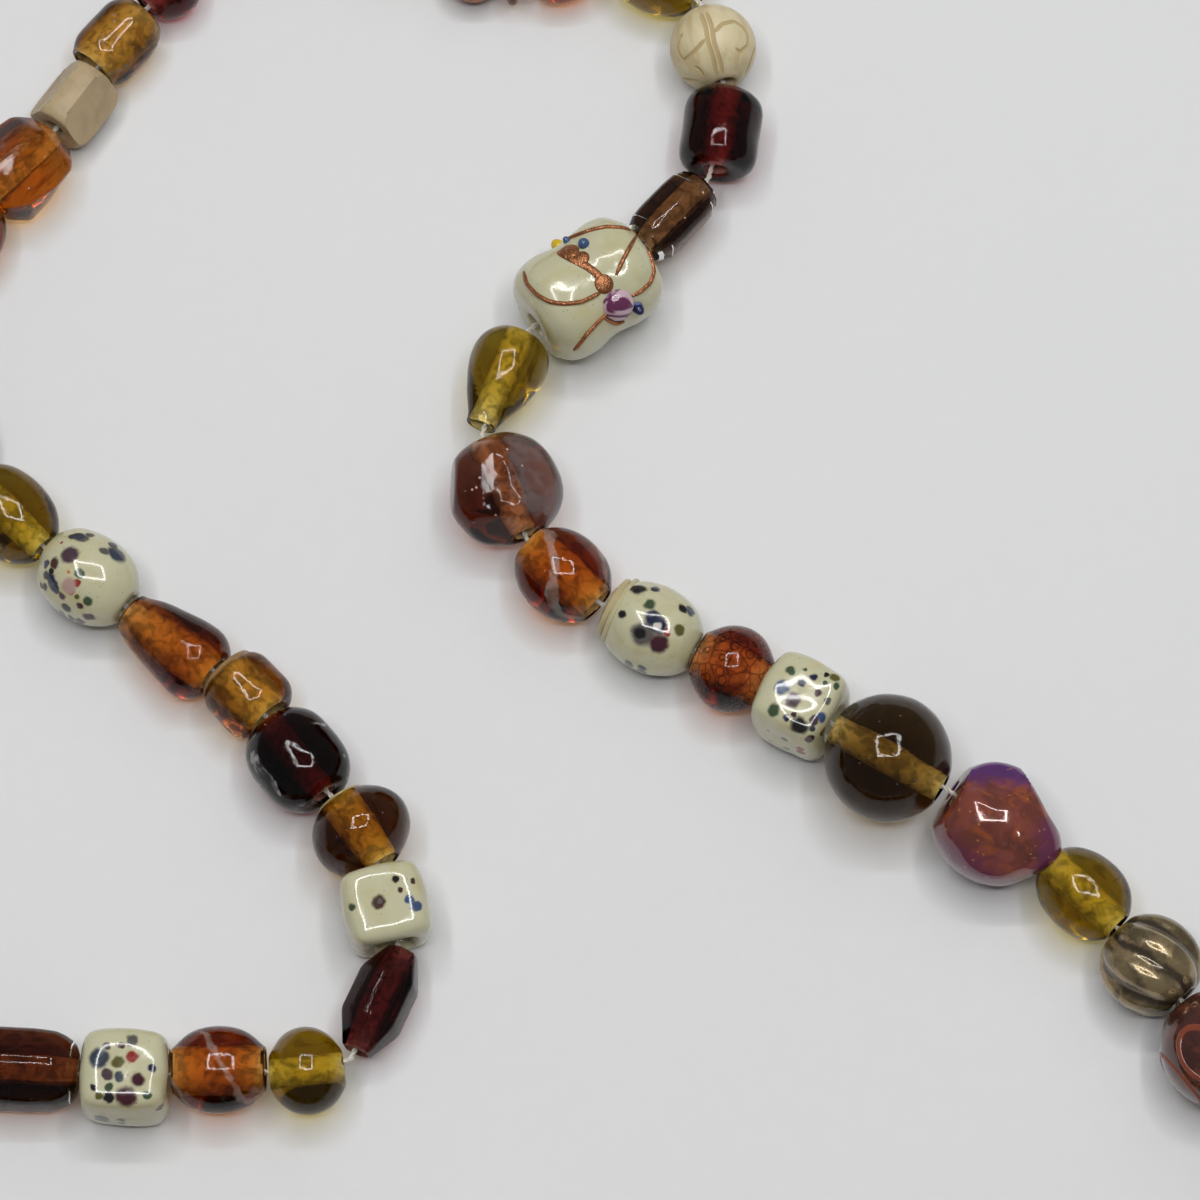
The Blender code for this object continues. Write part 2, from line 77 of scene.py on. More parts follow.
# Middle of a bead in millimetres, its heading and pitch in degrees, and its size in millimetres
Place = namedtuple("Place", "x y z heading pitch length width height")
STRAND = {
    "brown_hexagon": Place(-58.20, -56.74, 4.07, 3, 0.0, 16.0, 9.9, 9.4),
    "speckled_dice": Place(-45.20, -57.73, 4.50, 2, 0.0, 8.8, 9.4, 9.0),
    "brown_swirl_oval": Place(-35.27, -57.00, 4.63, -1, 0.0, 10.0, 9.4, 9.4),
    "olive_round": Place(-25.87, -57.11, 4.64, -6, 0.0, 8.0, 9.5, 9.5),
    "burgundy_bicone": Place(-18.21, -49.19, 4.02, -66, 0.0, 12.2, 7.2, 7.2),
    "speckled_block": Place(-17.68, -39.05, 4.58, -103, 4.6, 7.8, 9.0, 8.8),
    "smoky_amber_round": Place(-20.48, -30.45, 5.28, -124, 0.0, 8.9, 11.2, 10.8),
    "black_plum_oval": Place(-27.49, -22.22, 4.90, -127, -2.7, 10.4, 10.1, 9.8),
    "collared_amber_tube": Place(-33.14, -14.53, 4.30, -133, 0.0, 7.2, 8.6, 8.6),
    "orange_cone": Place(-41.63, -8.61, 4.34, -141, 0.0, 11.8, 8.6, 8.6),
    "speckled_oval_left": Place(-50.96, -1.04, 4.78, -143, 0.0, 11.0, 9.9, 9.7),
    "olive_oval_left": Place(-60.18, 6.53, 4.73, -135, 0.0, 11.6, 9.6, 9.6),
    "hidden_plum_oval": Place(-67.74, 16.91, 4.44, -118, 0.0, 11.6, 9.0, 9.0),
    "hidden_olive_oval": Place(-70.59, 28.44, 4.34, -86, 0.0, 10.6, 8.8, 8.8),
    "hidden_amber_oval": Place(-66.88, 39.45, 4.34, -52, 0.0, 10.8, 8.8, 8.8),
    "amber_nugget": Place(-60.28, 48.42, 4.76, -50, 0.0, 10.6, 11.4, 10.2),
    "beige_prism": Place(-54.63, 56.98, 3.83, -57, -3.1, 8.0, 8.0, 7.4),
    "honey_tube": Place(-49.96, 64.78, 3.90, -51, 0.0, 8.6, 7.8, 7.8),
    "plum_round": Place(-44.20, 71.87, 3.72, -46, 0.0, 7.2, 7.6, 7.6),
    "hidden_rust_oval": Place(-38.35, 78.04, 3.94, -36, 0.0, 8.2, 8.0, 8.0),
    "hidden_smoke_oval": Place(-28.59, 81.80, 4.14, -4, 0.0, 11.0, 8.4, 8.4),
    "hidden_olive_small": Place(-17.22, 79.04, 3.99, 30, -2.5, 10.6, 8.0, 8.0),
    "copper_foil_round": Place(-9.22, 73.75, 3.27, 16, -4.3, 6.4, 6.6, 6.6),
    "brown_spacer": Place(-4.61, 73.13, 2.99, 2, 0.0, 1.8, 6.0, 6.0),
    "ruby_oval": Place(1.16, 74.00, 3.81, -18, 4.9, 8.4, 7.6, 7.6),
    "olive_oval_top": Place(11.87, 73.14, 4.49, 30, 2.7, 11.6, 9.0, 9.0),
    "carved_bone_round": Place(18.35, 63.56, 4.84, 75, 0.0, 9.4, 9.9, 9.9),
    "garnet_barrel": Place(19.19, 53.03, 4.50, 98, 0.0, 9.6, 9.0, 9.0),
    "smoky_hexagon_tube": Place(13.57, 42.62, 4.71, 131, 3.9, 10.4, 7.4, 7.2),
    "copper_trail_lampwork": Place(4.07, 33.12, 5.92, 144, 0.0, 14.8, 12.8, 12.0),
    "olive_drop": Place(-5.64, 22.23, 5.28, 112, 0.0, 11.7, 9.4, 9.0),
    "plum_luster_lump": Place(-5.22, 9.15, 5.64, 66, 0.0, 11.8, 12.8, 11.6),
    "amber_swirl_oval": Place(1.34, -0.69, 4.78, 43, -2.5, 10.2, 9.8, 9.6),
    "speckled_oval_right": Place(11.14, -6.89, 4.73, 30, 0.0, 11.0, 9.8, 9.6),
    "crackle_amber_round": Place(19.90, -11.68, 4.79, 28, 0.0, 8.4, 9.8, 9.8),
    "speckled_cube": Place(27.39, -16.18, 5.40, 30, 7.9, 8.0, 9.0, 8.6),
    "smoky_globe": Place(36.69, -22.69, 7.00, 31, 0.0, 13.4, 14.0, 14.0),
    "rainbow_pebble": Place(48.22, -29.80, 5.73, 39, -4.9, 12.6, 13.2, 12.0),
    "olive_oval_right": Place(57.70, -37.45, 4.86, 46, 0.0, 10.2, 9.0, 9.0),
    "olive_melon": Place(64.65, -45.45, 4.99, 48, 0.0, 10.0, 10.6, 10.6),
    "red_looped_disc": Place(71.53, -55.02, 5.48, 52, 0.0, 12.4, 12.4, 11.2),
}

# The plain beads of the far strings: the sizes that come round in turn, length and width, and the spots
STRING_HEIGHT = 4.47
STRING_SIZES = ((9.56, 9.40), (7.65, 8.27), (11.00, 8.93), (8.61, 9.40), (10.04, 8.46))
STRING_SPOTS = {
    "right_string": (
        (77.67, -64.50, 74.4), (76.86, -73.77, 115.5), (69.50, -80.50, 159.7),
        (58.89, -81.32, 180.0), (48.67, -81.32, 180.0), (37.96, -81.32, 180.0),
        (28.46, -81.32, 180.0), (18.23, -81.32, 180.0), (7.53, -81.32, 180.0),
    ),
    "left_string": (
        (-18.96, -81.32, 180.0), (-28.47, -81.32, 180.0), (-38.69, -81.32, 180.0),
        (-49.39, -81.32, 180.0), (-59.62, -81.32, 180.0), (-70.25, -80.64, -161.1),
        (-77.28, -74.59, -117.5), (-77.98, -64.67, -70.6), (-70.78, -57.19, -21.6),
    ),
}


def string_places(spots):
    """Places of a string's beads from their spots and headings."""
    places = []
    for i, (x, y, heading) in enumerate(spots):
        length, width = STRING_SIZES[i % len(STRING_SIZES)]
        places.append(Place(x, y, STRING_HEIGHT, heading, 0.0, length, width, width))
    return tuple(places)


STRINGS = {name: string_places(spots) for name, spots in STRING_SPOTS.items()}
CLASP = Place(-5.48, -81.32, 4.00, 180.0, 0.0, 15.0, 8.0, 8.0)

# Outline along the wire. end: reach of the end faces. shoulder: share of the half length that is straight.
# fullness: 2 for a round curve, more for a fuller one. taper: how much wider the far end is.
Outline = namedtuple("Outline", "end shoulder fullness taper")
BALL = Outline(0.34, 0.0, 2.0, 0.0)
GLOBE = Outline(0.28, 0.0, 2.0, 0.0)
OVAL = Outline(0.42, 0.0, 2.2, 0.0)
RING = Outline(0.62, 0.2, 2.0, 0.0)
BARREL = Outline(0.55, 0.25, 2.2, 0.0)
TUBE = Outline(0.68, 0.5, 2.0, 0.0)
DRUM = Outline(0.66, 0.6, 2.2, 0.0)
STICK = Outline(0.80, 0.6, 2.0, 0.0)
DROP = Outline(0.42, 0.0, 2.2, -0.42)
CONE = Outline(0.58, 0.45, 2.2, -0.26)
LOBED = Outline(0.60, 0.50, 2.6, 0.0)
PEBBLE = Outline(0.34, 0.0, 2.3, 0.0)
WIDEST_PLACE = 0.4

# The hole of a drawn bead: how deep its mouth flares, how far its lip is rounded, how much wider it is at
# the flare and at the lip, and how far past the bore the chalky lining reaches
MOUTH_DEPTH = 0.5 * MM
LIP = 0.06 * MM
FLARE = 1.12
LIP_FLARE = 1.3
LINED = 1.09
# Share of the glass past a flat side that the paddle pushes back
PADDLE_PUSH = 0.82
# The rounded cubes: the widest in the shot in millimetres, how far each nears a ball, and their dished tops
CUBE_WIDTH = 8.6
CUBE_ROUNDING = 0.42
CUBE_DISH = 3.6 * MM
CUBE_DISH_DEPTH = 0.3 * MM

# Absorbing glass: the colour that passes, how strongly it tints, its roughness, the lining of its hole
Glass = namedtuple("Glass", "passes depth roughness lining")
OLIVE = Glass((0.80, 0.73, 0.16), 620, 0.02, (0.68, 0.53, 0.20))
AMBER = Glass((0.85, 0.62, 0.16), 800, 0.02, (0.62, 0.36, 0.13))
HONEY = Glass((0.87, 0.71, 0.24), 700, 0.03, (0.52, 0.36, 0.13))
TOFFEE = Glass((0.82, 0.72, 0.42), 1050, 0.02, (0.95, 0.70, 0.28))
TEA = Glass((0.70, 0.58, 0.44), 1200, 0.02, (0.75, 0.60, 0.42))
AMBER_ROUGH = Glass((0.89, 0.72, 0.32), 560, 0.04, (0.52, 0.29, 0.09))
WINE = Glass((0.72, 0.46, 0.46), 1500, 0.03, (0.26, 0.09, 0.07))
MAUVE = Glass((0.78, 0.62, 0.54), 560, 0.03, (0.56, 0.36, 0.17))
SMOKE = Glass((0.73, 0.665, 0.50), 690, 0.02, (1.0, 0.82, 0.34))
GARNET = Glass((0.74, 0.38, 0.38), 900, 0.03, (0.32, 0.13, 0.10))
PLUM = Glass((0.76, 0.52, 0.50), 1600, 0.03, (0.35, 0.14, 0.08))
RUST = Glass((0.82, 0.53, 0.20), 640, 0.02, (0.62, 0.33, 0.13))
BROWN = Glass((0.77, 0.60, 0.42), 1000, 0.03, (0.42, 0.24, 0.12))

# A pattern in the glass: cloud, specks, rings, net, spiral or side, its colour, how much it covers, its
# size, and the values between which it sets in. stretch: how much finer it is along each axis, for a side
# the direction in which it lies, for a spiral its climb for each millimetre and where it starts.
# body: 0 for a stain that the light passes, 1 for glass that hides what lies behind.
# Some veils carry painted shade rather than colour in the glass: the garnet barrel's two side veils and the
# melon's valleys.
Veil = namedtuple(
    "Veil", "pattern colour amount scale low high stretch body", defaults=((1.0, 1.0, 1.0), 0.0))
OLIVE_FLOW = Veil("cloud", (0.30, 0.22, 0.04), 0.7, 0.30, 0.56, 0.70, (0.5, 2.0, 1.0))
DARK_FLOW = Veil("cloud", (0.20, 0.08, 0.03), 0.8, 0.30, 0.52, 0.66, (0.6, 1.6, 1.0))
MILKY_STRIPE = Veil("spiral", (0.52, 0.38, 0.24), 0.5, 3.0, 0.86, 0.96, (0.21, 2.9, 0.0), 0.4)
STEEP_STRIPE = Veil("spiral", (0.52, 0.38, 0.24), 0.5, 2.0, 0.90, 0.98, (0.42, 1.3, 0.0), 0.35)
GOLD_DUST = Veil("specks", (0.95, 0.60, 0.26), 0.75, 0.55, 0.045, 0.10, body=0.8)
FLECKS = Veil("specks", (0.05, 0.03, 0.015), 0.8, 0.9, 0.035, 0.085, body=0.6)
BUBBLES = Veil("specks", (0.95, 0.88, 0.72), 0.6, 0.8, 0.03, 0.06, body=0.6)

# One turned bead of clear glass: its outline, glass, record slot, radius of its hole and veils
Turned = namedtuple("Turned", "outline glass slot bore veils")
TURNED = {
    "brown_swirl_oval": Turned(OVAL, AMBER, "amber", 1.9, (DARK_FLOW, STEEP_STRIPE, BUBBLES)),
    "olive_round": Turned(BALL, OLIVE, "olive", 1.2, (OLIVE_FLOW, FLECKS)),
    "smoky_amber_round": Turned(BALL, TOFFEE, "smoke", 1.55, (DARK_FLOW, FLECKS, BUBBLES)),
    "black_plum_oval": Turned(BARREL, PLUM, "plum", 1.2, (
        Veil("specks", (0.10, 0.12, 0.17), 0.7, 0.40, 0.05, 0.14, body=0.8),
        Veil("cloud", (0.16, 0.05, 0.02), 0.7, 0.25, 0.60, 0.72, body=1.0))),
    "collared_amber_tube": Turned(TUBE, HONEY, "amber", 2.1, (DARK_FLOW, FLECKS, BUBBLES)),
    "orange_cone": Turned(CONE, AMBER, "amber", 1.8, (
        Veil("side", (0.16, 0.05, 0.03), 0.9, 1.0, 0.8, 1.5, (0.25, -1.0, 0.0)), DARK_FLOW, FLECKS)),
    "olive_oval_left": Turned(OVAL, OLIVE, "olive", 1.3, (OLIVE_FLOW, FLECKS)),
    "hidden_plum_oval": Turned(OVAL, PLUM, "plum", 1.2, (DARK_FLOW,)),
    "hidden_olive_oval": Turned(OVAL, OLIVE, "olive", 1.2, (OLIVE_FLOW,)),
    "hidden_amber_oval": Turned(OVAL, AMBER, "amber", 1.2, (DARK_FLOW,)),
    "honey_tube": Turned(TUBE, HONEY, "amber", 2.3, (
        Veil("specks", (0.06, 0.02, 0.01), 0.9, 0.9, 0.09, 0.16, body=0.9),
        Veil("side", (0.10, 0.04, 0.02), 0.8, 1.0, 1.6, 3.2, (0.8, 0.6, 0.0)), DARK_FLOW)),
    "plum_round": Turned(BALL, GARNET, "plum", 1.2, (DARK_FLOW,)),
    "hidden_rust_oval": Turned(OVAL, RUST, "rust", 1.2, (DARK_FLOW,)),
    "hidden_smoke_oval": Turned(OVAL, SMOKE, "smoke", 1.2, (DARK_FLOW,)),
    "hidden_olive_small": Turned(OVAL, OLIVE, "olive", 1.2, (OLIVE_FLOW,)),
    "brown_spacer": Turned(RING, BROWN, "brown", 1.2, (DARK_FLOW,)),
    "ruby_oval": Turned(OVAL, RUST, "rust", 1.2, (DARK_FLOW,)),
    "olive_oval_top": Turned(OVAL, OLIVE, "olive", 1.2, (OLIVE_FLOW, FLECKS)),
    "garnet_barrel": Turned(DRUM, GARNET, "garnet", 1.2, (
        # Both side veils are painted shade: the glass is darkened towards both flanks
        Veil("side", (0.10, 0.03, 0.06), 0.9, 1.0, 1.5, 2.2, (0.0, 1.0, 0.0)),
        Veil("side", (0.10, 0.03, 0.06), 0.9, 1.0, 1.5, 2.2, (0.0, -1.0, 0.0)))),
    "olive_drop": Turned(DROP, OLIVE, "olive", 1.2, (OLIVE_FLOW, FLECKS)),
    "amber_swirl_oval": Turned(OVAL, AMBER, "amber", 1.8, (DARK_FLOW, MILKY_STRIPE, BUBBLES)),
    "crackle_amber_round": Turned(BALL, RUST, "rust", 1.9, (
        Veil("net", (0.07, 0.018, 0.010), 0.85, 0.55, 0.01, 0.10),
        Veil("rings", (0.05, 0.012, 0.008), 0.9, 0.62, 0.02, 0.09), DARK_FLOW)),
    "smoky_globe": Turned(GLOBE, SMOKE, "smoke", 1.2, (
        BUBBLES, FLECKS, Veil("cloud", (0.55, 0.44, 0.30), 0.4, 0.14, 0.52, 0.66))),
    "olive_oval_right": Turned(OVAL, OLIVE, "olive", 1.3, (OLIVE_FLOW, FLECKS)),
}

# Colours of the melted speckles; the palest one is used only for a painted highlight
SPECKLES = {
    "black": (0.010, 0.008, 0.008),
    "navy": (0.010, 0.014, 0.045),
    "blue": (0.045, 0.075, 0.16),
    "slate": (0.035, 0.045, 0.065),
    "green": (0.045, 0.075, 0.035),
    "olive": (0.10, 0.09, 0.02),
    "grey": (0.10, 0.09, 0.08),
    "maroon": (0.05, 0.010, 0.018),
    "mauve": (0.065, 0.035, 0.045),
    "brown": (0.06, 0.025, 0.018),
    "red": (0.26, 0.02, 0.015),
    "orange": (0.50, 0.15, 0.04),
    "painted_highlight": (0.60, 0.58, 0.52),
    "pink": (0.42, 0.28, 0.24),
}

# Speckles that the shot shows: across and down in its pixels, radius in pixels, colour. A small pale speck in
# the middle of a larger one is a painted highlight
SPECKLED = {
    "speckled_oval_right": (
        (638, 589, 8, "black"), (655, 589, 5, "slate"), (622, 614, 5, "black"), (650, 604, 6, "green"),
        # The small pale speck at 657, 626 is a painted highlight on the navy speckle
        (652, 617, 8, "navy"), (657, 625, 10, "navy"), (657, 626, 4, "painted_highlight"), (642, 634, 12, "grey"),
        (640, 633, 6, "black"), (659, 644, 10, "maroon"), (667, 633, 4, "red"), (680, 630, 6, "olive"),
        (683, 609, 5, "black"), (691, 611, 6, "slate"), (629, 665, 5, "black"), (642, 668, 5, "black"),
    ),
    "speckled_cube": (
        (791, 671, 5, "green"), (805, 669, 2, "green"), (814, 677, 4, "navy"), (827, 675, 3, "black"),
        (835, 677, 5, "olive"), (802, 683, 4, "navy"), (825, 683, 3, "green"), (837, 686, 4, "green"),
        (782, 687, 8, "blue"), (818, 693, 4, "maroon"), (793, 700, 8, "mauve"), (828, 701, 4, "grey"),
        (774, 710, 7, "green"), (786, 718, 4, "navy"), (794, 715, 3, "maroon"), (799, 726, 9, "black"),
        (814, 720, 5, "mauve"), (822, 717, 5, "blue"), (812, 728, 4, "slate"), (823, 732, 4, "maroon"),
        (810, 739, 5, "maroon"), (784, 739, 4, "black"), (800, 749, 5, "red"), (770, 741, 2, "red"),
    ),
    "speckled_oval_left": (
        (70, 554, 10, "mauve"), (54, 563, 6, "brown"), (46, 564, 4, "navy"), (51, 571, 3, "black"),
        (53, 585, 7, "slate"), (41, 585, 4, "black"), (45, 587, 4, "black"), (62, 596, 4, "maroon"),
        (70, 590, 5, "red"), (77, 583, 4, "red"), (68, 572, 2, "orange"), (79, 573, 5, "green"),
        (88, 601, 5, "green"), (77, 597, 3, "olive"), (80, 606, 4, "maroon"), (89, 617, 6, "mauve"),
        (62, 613, 4, "black"), (72, 618, 4, "black"), (90, 535, 5, "black"), (71, 537, 4, "slate"),
        (83, 539, 6, "grey"), (117, 554, 10, "slate"), (113, 545, 6, "black"), (61, 543, 2, "red"),
        (69, 586, 8, "pink"), (50, 578, 6, "navy"), (78, 536, 7, "slate"), (46, 575, 5, "black"),
        (66, 608, 6, "black"), (80, 621, 5, "maroon"), (56, 590, 5, "navy"), (104, 551, 5, "grey"),
    ),
    "speckled_block": (
        # The small grey speck at 380, 901 is a painted highlight in the middle of the brown speckle
        (379, 902, 7, "brown"), (396, 879, 4, "black"), (400, 890, 3, "brown"), (409, 899, 5, "blue"),
        (416, 906, 6, "blue"), (352, 907, 4, "green"), (413, 881, 3, "brown"), (380, 901, 3, "grey"),
    ),
    "speckled_dice": (
        (99, 1058, 10, "slate"), (107, 1046, 4, "black"), (122, 1045, 4, "maroon"), (132, 1057, 6, "red"),
        (118, 1062, 6, "olive"), (107, 1074, 6, "mauve"), (119, 1077, 5, "slate"), (138, 1080, 7, "maroon"),
        (93, 1088, 4, "black"), (109, 1087, 4, "green"), (99, 1096, 4, "olive"), (126, 1097, 10, "maroon"),
        (109, 1097, 6, "black"), (102, 1120, 7, "black"), (121, 1120, 4, "green"), (161, 1107, 5, "brown"),
        (132, 1040, 6, "grey"), (152, 1068, 4, "navy"), (147, 1095, 4, "green"),
    ),
}

# Lines on beads as the shot shows them, in its pixels: the carved bead's grooves, and the copper trails, belt
# and patches of the large cream bead, the patches with their radius
GROOVES = (
    ((714, 33), (722, 24), (734, 21), (743, 27), (748, 36), (748, 45), (740, 53), (732, 44)),
    ((706, 38), (696, 50), (684, 61), (679, 54), (677, 46), (680, 37), (685, 31)),
    ((700, 12), (706, 27), (708, 42), (714, 60), (718, 84)),
    ((706, 11), (712, 27), (714, 42), (720, 60), (725, 82)),
    ((682, 78), (693, 80), (703, 82)),
    ((755, 46), (751, 60), (741, 83)),
    ((694, 66), (700, 70), (706, 80)),
)
TRAILS = (
    ((524, 272), (527, 284), (537, 295), (550, 302), (565, 304), (582, 302), (594, 296), (603, 291)),
    ((566, 240), (578, 235), (592, 230), (607, 227), (622, 228), (634, 232)),
    ((634, 232), (644, 244), (651, 258), (654, 272), (650, 283), (640, 292), (628, 298)),
    ((609, 312), (596, 324), (586, 335), (578, 346), (572, 352)),
    ((636, 236), (627, 252), (620, 266), (614, 280)),
    ((604, 318), (616, 324), (628, 320)),
)
BELT = ((556, 250), (566, 256), (577, 261), (588, 267), (597, 274), (605, 284), (612, 296))
PATCHES = ((569, 252, 11), (582, 258, 8), (604, 284, 10))
# Flat sides pressed on the uneven beads: heading and rise in degrees, reach from the middle in millimetres
LUMP_FLATS = ((180, 8, 5.7), (238, 76, 5.1), (18, 60, 5.0), (262, 22, 5.8))
PEBBLE_FLATS = ((27, 8, 5.3), (150, 16, 5.6), (262, 48, 5.5), (84, 62, 5.2))
# Soft dents in them: across, down and radius in pixels, depth in millimetres
LUMP_DENTS = ((526, 486, 22, 0.45), (502, 500, 12, -0.2), (540, 510, 14, -0.3))
PEBBLE_DENTS = (
    (1046, 852, 40, -1.5), (1005, 852, 14, 0.35), (975, 800, 22, -0.3),
    (1022, 840, 12, -0.3), (1034, 862, 10, 0.3),
)
# Melted drops on the large cream bead: across, down and radius in pixels, rise in millimetres, colours
DROPS = (
    (552, 240, 7, 1.1, (0.62, 0.42, 0.02), (0.80, 0.62, 0.06)),
    (584, 244, 6, 0.8, (0.05, 0.09, 0.20), (0.12, 0.20, 0.42)),
    (567, 241, 4, 0.6, (0.06, 0.10, 0.20), (0.16, 0.24, 0.42)),
    (618, 305, 17, 1.3, (0.13, 0.03, 0.08), (0.55, 0.40, 0.46)),
    (637, 307, 6, 1.3, (0.015, 0.02, 0.07), (0.10, 0.14, 0.34)),
)


def length_setting(name, description, default):
    """A length in the sidebar."""
    return FloatProperty(
        name=name, description=description, default=default, subtype="DISTANCE", unit="LENGTH", precision=5)


def colour_setting(name, description, default):
    """A colour in the sidebar."""
    return FloatVectorProperty(
        name=name, description=description, default=default, subtype="COLOR", size=3, min=0, max=1)


class NecklaceSizes(bpy.types.PropertyGroup):
    """Sizes that all beads share."""

    sides: IntProperty(
        name="Sides", description="Points of the ring that a bead is drawn out from", default=20, min=8)
    stations: IntProperty(
        name="Stations", description="Rings along a bead's outer wall", default=11, min=5)
    smoothing: IntProperty(
        name="Smoothing", description="Subdivision levels of a drawn bead", default=2, min=0, max=3)
    bore: length_setting("Bore", "Radius of the hole for the thread", 1.2 * MM)
    mouth: length_setting("Mouth", "Radius of the hole's rounded mouth", 1.7 * MM)
    unevenness: length_setting("Unevenness", "How far the hot glass sags out of round", 0.24 * MM)
    groove: length_setting("Groove", "Radius of the cutter for the carved bead", 0.34 * MM)
    trail: length_setting("Trail", "Radius of a trail of molten glass", 0.27 * MM)
    ply: length_setting("Ply", "Radius of one ply of the thread", 0.17 * MM)
    twist: length_setting("Twist", "Length of thread in which the plies turn once", 1.5 * MM)


class NecklaceColours(bpy.types.PropertyGroup):
    """Colours of the opaque beads, the thread and the clasp."""

    cream: colour_setting("Cream", "Ground of the speckled beads", (0.54, 0.52, 0.345))
    cream_shade: colour_setting("Cream shade", "Darker clouds in the cream glass", (0.50, 0.46, 0.26))
    bone: colour_setting("Bone", "Carved bead", (0.66, 0.57, 0.36))
    bone_groove: colour_setting("Bone groove", "Stain in the carved grooves", (0.44, 0.33, 0.16))
    stone: colour_setting("Stone", "Polished prism", (0.45, 0.335, 0.19))
    copper: colour_setting("Copper", "Glittering copper glass", (0.52, 0.20, 0.08))
    thread: colour_setting("Thread", "Twisted cotton", (0.80, 0.77, 0.70))
    metal: colour_setting("Metal", "Clasp", (0.66, 0.62, 0.54))


class NecklaceStage(bpy.types.PropertyGroup):
    """The surface, the lamps and the camera."""

    surface: colour_setting("Surface", "Surface that the necklace lies on", (0.72, 0.72, 0.725))
    ring_power: FloatProperty(
        name="Ring power", description="Power of each side of the square lamp", default=2.3, unit="POWER")
    ring_half: length_setting("Ring half side", "Half side of the square lamp", 0.33)
    fill_power: FloatProperty(
        name="Fill power", description="Power of the large soft lamp", default=3.0, unit="POWER")
    lens: FloatProperty(
        name="Lens", description="Focal length in millimetres", default=162.0)


def shot_ray(across, down):
    """Eye and direction of the line of sight through a pixel of the shot."""
    ahead = Vector((0, math.cos(SHOT_ELEVATION), -math.sin(SHOT_ELEVATION)))
    up = Vector((0, math.sin(SHOT_ELEVATION), math.cos(SHOT_ELEVATION)))
    right = Vector((1, 0, 0))
    half = SHOT_SIZE / 2
    aim = ahead * SHOT_DISTANCE + right * (across - half) / SHOT_SCALE - up * (down - half) / SHOT_SCALE
    return SHOT_MIDDLE - ahead * SHOT_DISTANCE, aim.normalized()


def spot_on(bead, across, down):
    """Point and normal where the shot's pixel falls on a bead, or the nearest of its rim beside it."""
    eye, aim = shot_ray(across, down)
    found, point, normal, _ = bead.ray_cast(eye, aim)
    if not found:
        height = sum(corner[2] for corner in bead.bound_box) / 8
        beside = eye + aim * ((height - eye.z) / aim.z)
        _, point, normal, _ = bead.closest_point_on_mesh(beside)
    return point, normal


def middle_of(place):
    """Middle of a bead in metres."""
    return Vector((place.x, place.y, place.z)) * MM


def turn_of(place):
    """How a bead is turned from the workbench, where its bore lies along X."""
    return Euler((0, -math.radians(place.pitch), -math.radians(place.heading)))


def ends_of(place):
    """Both mouths of a bead's bore."""
    half = turn_of(place).to_matrix() @ Vector((place.length * MM / 2, 0, 0))
    return middle_of(place) - half, middle_of(place) + half


def only(bead):
    """Leaves nothing but this bead selected, in object mode."""
    if bpy.context.mode != "OBJECT":
        bpy.ops.object.mode_set(mode="OBJECT")
    bpy.ops.object.select_all(action="DESELECT")
    if bead is not None:
        bead.select_set(True)
        bpy.context.view_layer.objects.active = bead


def pick(bead, wanted, mode="VERT"):
    """Selects the points or faces of a bead whose place passes a test, and enters edit mode."""
    only(bead)
    mesh = bead.data
    for group in (mesh.vertices, mesh.edges, mesh.polygons):
        group.foreach_set("select", [False] * len(group))
    items = mesh.vertices if mode == "VERT" else mesh.polygons
    for item in items:
        item.select = wanted(item)
    bpy.context.tool_settings.mesh_select_mode = (mode == "VERT", False, mode == "FACE")
    bpy.ops.object.mode_set(mode="EDIT")


def apply_modifier(bead, kind, **settings):
    """Adds a modifier to a bead and applies it."""
    only(bead)
    modifier = bead.modifiers.new(kind.title(), kind)
    for name, value in settings.items():
        setattr(modifier, name, value)
    bpy.ops.object.modifier_apply(modifier=modifier.name)


def reach_along(outline, along):
    """Reach of a bead's outline, from -1 at one end to 1 at the other."""
    past = max(0.0, (abs(along) - outline.shoulder) / (1 - outline.shoulder))
    fall = (1 - outline.end ** outline.fullness) * past ** outline.fullness
    widening = (1 + outline.taper * along) / (1 + abs(outline.taper) * WIDEST_PLACE)
    return (1 - fall) ** (1 / outline.fullness) * widening


def bead_rings(outline, place, sizes, bore=None):
    """Place along the wire and radius of every ring, out along the wall and back through the bore."""
    half = place.length * MM / 2
    count = sizes.stations
    bore = bore or sizes.bore
    rings = [(-half + MOUTH_DEPTH, bore), (-half + LIP, bore * FLARE)]
    for i in range(count):
        along = math.sin(math.pi / 2 * (2 * i / (count - 1) - 1))
        reach = reach_along(outline, along) * place.width * MM / 2
        rings.append((along * half, max(reach, sizes.mouth, bore * LIP_FLARE)))
    rings += [(half - LIP, bore * FLARE), (half - MOUTH_DEPTH, bore)]
    return rings + [(0.0, bore), rings[0]]


def close_up(nearest):
    """Merges points that meet, turns all faces outwards and leaves edit mode."""
    bpy.ops.mesh.select_all(action="SELECT")
    bpy.ops.mesh.remove_doubles(threshold=nearest)
    bpy.ops.mesh.normals_make_consistent(inside=False)
    bpy.ops.object.mode_set(mode="OBJECT")


